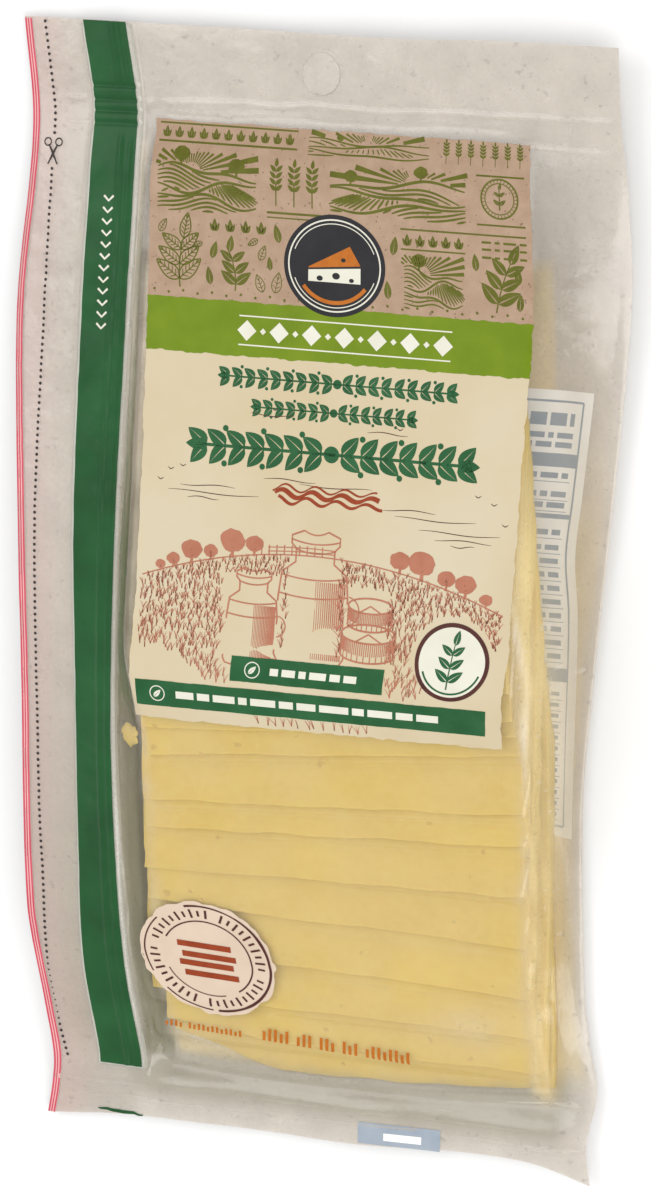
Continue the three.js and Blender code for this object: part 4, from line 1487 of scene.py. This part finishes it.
def print_margin():
    """Red guide lines and the dotted cut line at the left side, and the colour mark at the foot."""
    y = np.linspace(-134, 134.6, 260)
    left = through(LEFT_EDGE, 1, y)
    lines = [ribbon(np.stack([left + inset, y], 1), wide) for inset, wide in GUIDE_LINES]
    printed("print_guide_lines", red_look, lines, place=plain_xy)
    field = ribbon(np.stack([left + 1.1, y], 1), 1.9, 3)
    printed("print_guide_field", pink_look, field, place=plain_xy)
    dots = []
    for y in np.concatenate([np.arange(134, 106.8, -1.55), np.arange(99.2, -118.5, -1.55)]):
        size = 0.39 - 0.17 * smooth((-90 - y) / 8) * smooth((y + 112) / 6)
        dots.append(disc_grid(size, 1, 10, float(through(CUT_LINE, 1, y)), y))
    x = float(through(CUT_LINE, 1, SCISSORS_Y))
    for side in (1, -1):
        blade = ribbon([(side * 1.05, 1.5), (side * 0.1, -0.2), (-side * 1.15, -2.6)], [0.3, 0.55, 0.3])
        dots.append(turned(blade, x, SCISSORS_Y, 0, 1.15))
        dots.append(turned(ring(0.9, 0.34, sectors=20), x + side * 1.5, SCISSORS_Y + 2.3))
    printed("print_cut_line", dot_look, dots, place=plain_xy)
    mark = box(12.4, -131.6, 33.4, -126.4, 1.0)
    printed("print_foot_mark", blue_look, mark, place=plain_xy)
    bar = box(19, -130.4, 28.6, -128.6, 1.0)
    printed("print_foot_label", panel_look, bar, place=plain_xy)
    x = np.linspace(-57.9, -45.4, 20)
    line = np.stack([x, -131.5 - 0.03 * (x + 57) + 0.2 * wobble(x, 0, 1.5)], 1)
    printed("print_foot_sliver", band_look, ribbon(line, taper(20, 0.9, 0.3)), place=plain_xy)


BAND_FIRST_ROW = 1.4            # grid row at the green band's lower end


def print_band():
    """Green band over the press-to-close strip, with a column of pale chevrons."""
    x, y = grid(np.linspace(1.03, 1.97, 34), fine_rows[fine_rows >= BAND_FIRST_ROW])
    points = np.stack([x, y, film_front(x, y) + LIFTS["print_green_band"]], 2)
    points = points[y[:, 0] > STRIP_FOOT + 0.4]
    piece("print_green_band", points, sheet_faces(*points.shape[:2]), band_look)
    chevrons = []
    for y in np.arange(93, 60, -2.75):
        s = section(np.array([y]))[:, 0]
        x = mix(s[1], s[2], 0.46)
        chevrons.append(ribbon([(x - 1.25, y + 0.7), (x, y - 0.5), (x + 1.25, y + 0.7)], 0.55))
    printed("print_chevrons", pale_look, chevrons, place=plain_xy)


def panel_xy(shape):
    """Panel places, measured leftwards from its right side, to the bag's x and y."""
    return np.stack([through(PANEL_RIGHT, 1, shape[..., 1]) - shape[..., 0], shape[..., 1]], -1)


PANEL_RULES = ((50.4, 0.5), (36.6, 3.2), (23.4, 1.1), (-14, 3.2), (-50, 0.5))  # y, height


def print_panel():
    """White panel on the rear web, ruled and barred in blue grey, seen through the bag at the right."""
    white = Ink("rear_panel", panel_look, panel_xy, film_back, "panel")
    white.add(box(0, -52.5, 74, 53, 1.4))
    white.finish()
    rows = [(46.2, 3.0)] + [(y, 1.3) for y in (42.4, 40.2, 33, 28.6, 26, 19.6)]
    rows += [(y, 1.2) for y in np.arange(16, -12, -3.2)]
    rows += [(y, 0.9) for y in np.arange(-18.5, -48, -2.6)]
    upright = np.linspace(-50, 50.4, 40)
    for name in ("rear_panel_lines_inside", "rear_panel_lines"):
        blue = Ink(name, blue_look, panel_xy, film_back)
        for a in (2.6, 71.4):
            blue.add(ribbon(np.stack([np.full(40, a), upright], 1), 0.5))
        for y, tall in PANEL_RULES:
            blue.add(ribbon(level(2.6, 71.4, y, 48), tall, 3))
        for k, (y, tall) in enumerate(rows):
            words = np.abs(np.sin(np.arange(12) * 2.1 + k)) * 3.4 + 1.2
            bars = dashes(words, 4.6, y - tall / 2, tall)
            blue.add([bar for bar in bars if bar[..., 0].max() < 69])
            if k > 2:
                blue.add(ribbon(level(4, 70, y - 1.5, 40), 0.16))
        blue.finish()


print_stamp()
print_margin()
print_band()
print_panel()


DROPS = (                       # x, y, radius of the large ones
    (65.6, 1.3, 0.9), (67, -9, 0.45), (69.3, -11, 0.6), (62.6, -63, 0.35), (66.6, -71, 0.35),
    (64.8, -74, 0.6),
)


def beads():
    """Drops of moisture on the inside of the film, most of them beside the stack."""
    drops = list(DROPS)
    for _ in range(90):
        y = rng.uniform(-112, 18)
        right = float(through(RIGHT_EDGE, 1, y))
        drops.append((rng.uniform(61, right - 1.5), y, 0.12 + 0.25 * rng.random() ** 3))
    for _ in range(50):
        y = rng.uniform(-60, 95)
        drops.append((rng.uniform(-45.5, -40.5), y, 0.12 + 0.2 * rng.random() ** 2))
    for _ in range(40):
        drops.append((rng.uniform(-30, 56), rng.uniform(-110, -32), 0.1 + 0.18 * rng.random() ** 3))
    points, faces = [], []
    r = np.linspace(0, 1, 5)[:, None]
    for x, y, size in drops:
        flat = disc_grid(size, 4, 14, x, y, tall=size * rng.uniform(0.8, 1.25))
        z = film_front(flat[..., 0], flat[..., 1]) + 0.02 + 0.45 * size * np.sqrt(1 - r ** 2 * 0.98)
        faces.append(sheet_faces(*z.shape)[:, ::-1] + z.size * len(points))
        points.append(np.concatenate([flat, z[..., None]], 2).reshape(-1, 3))
    piece("moisture_beads", np.concatenate(points), np.concatenate(faces), bead_material())


beads()


# Camera at the photograph's angle, as turns from straight above: to the right, to the header, and in roll
VIEW_ACROSS, VIEW_ALONG, VIEW_ROLL = np.radians([24.0, 10.0, 0.3116])
VIEW_TARGET = Vector((3.73, 0.74, 8.0)) * MM
VIEW_DISTANCE = 1.25
LENS, SENSOR = 159.1, 36.0
SKY_STRENGTH = 0.86
LIGHTS = (                      # name, place in metres, size, power
    ("left_light", (-0.75, 0.55, 1.2), 1.0, 4.5),
    ("right_light", (0.8, -0.35, 1.25), 1.1, 8.5),
)
FLOOR_REACH, FLOOR_Z = 2.5, -0.0001


def add_camera():
    flat = np.cos(VIEW_ALONG)
    back = Vector((np.sin(VIEW_ACROSS) * flat, np.sin(VIEW_ALONG), np.cos(VIEW_ACROSS) * flat))
    right = Vector((0, 1, 0)).cross(back).normalized()
    up = back.cross(right)
    c, s = float(np.cos(VIEW_ROLL)), float(np.sin(VIEW_ROLL))
    axes = (right * c + up * s, up * c - right * s, back)
    data = bpy.data.cameras.new("view")
    data.lens = LENS
    data.sensor_width = SENSOR
    camera = bpy.data.objects.new("view", data)
    bpy.context.scene.collection.objects.link(camera)
    facing = Matrix([[axes[j][i] for j in range(3)] for i in range(3)]).to_4x4()
    camera.matrix_world = Matrix.Translation(VIEW_TARGET + back * VIEW_DISTANCE) @ facing
    bpy.context.scene.camera = camera


def add_light(name, place, size, power):
    """White round lamp that points at the bag."""
    data = bpy.data.lights.new(name, "AREA")
    data.shape = "DISK"
    data.size = size
    data.energy = power
    light = bpy.data.objects.new(name, data)
    bpy.context.scene.collection.objects.link(light)
    light.location = place
    light.rotation_mode = "QUATERNION"
    light.rotation_quaternion = (-Vector(place)).to_track_quat("-Z", "Y")


def add_studio():
    world = bpy.data.worlds.new("studio")
    world.use_nodes = True
    background = world.node_tree.nodes["Background"]
    background.inputs["Color"].default_value = (1, 1, 1, 1)
    background.inputs["Strength"].default_value = SKY_STRENGTH
    bpy.context.scene.world = world
    bpy.context.scene.view_settings.view_transform = "Standard"
    for light in LIGHTS:
        add_light(*light)
    mesh = bpy.data.meshes.new("floor")
    corners = [(x * FLOOR_REACH, y * FLOOR_REACH, FLOOR_Z) for x, y in ((-1, -1), (1, -1), (1, 1), (-1, 1))]
    mesh.from_pydata(corners, [], [(0, 1, 2, 3)])
    mesh.materials.append(floor_material())
    floor = bpy.data.objects.new("floor", mesh)
    bpy.context.scene.collection.objects.link(floor)


add_camera()
add_studio()
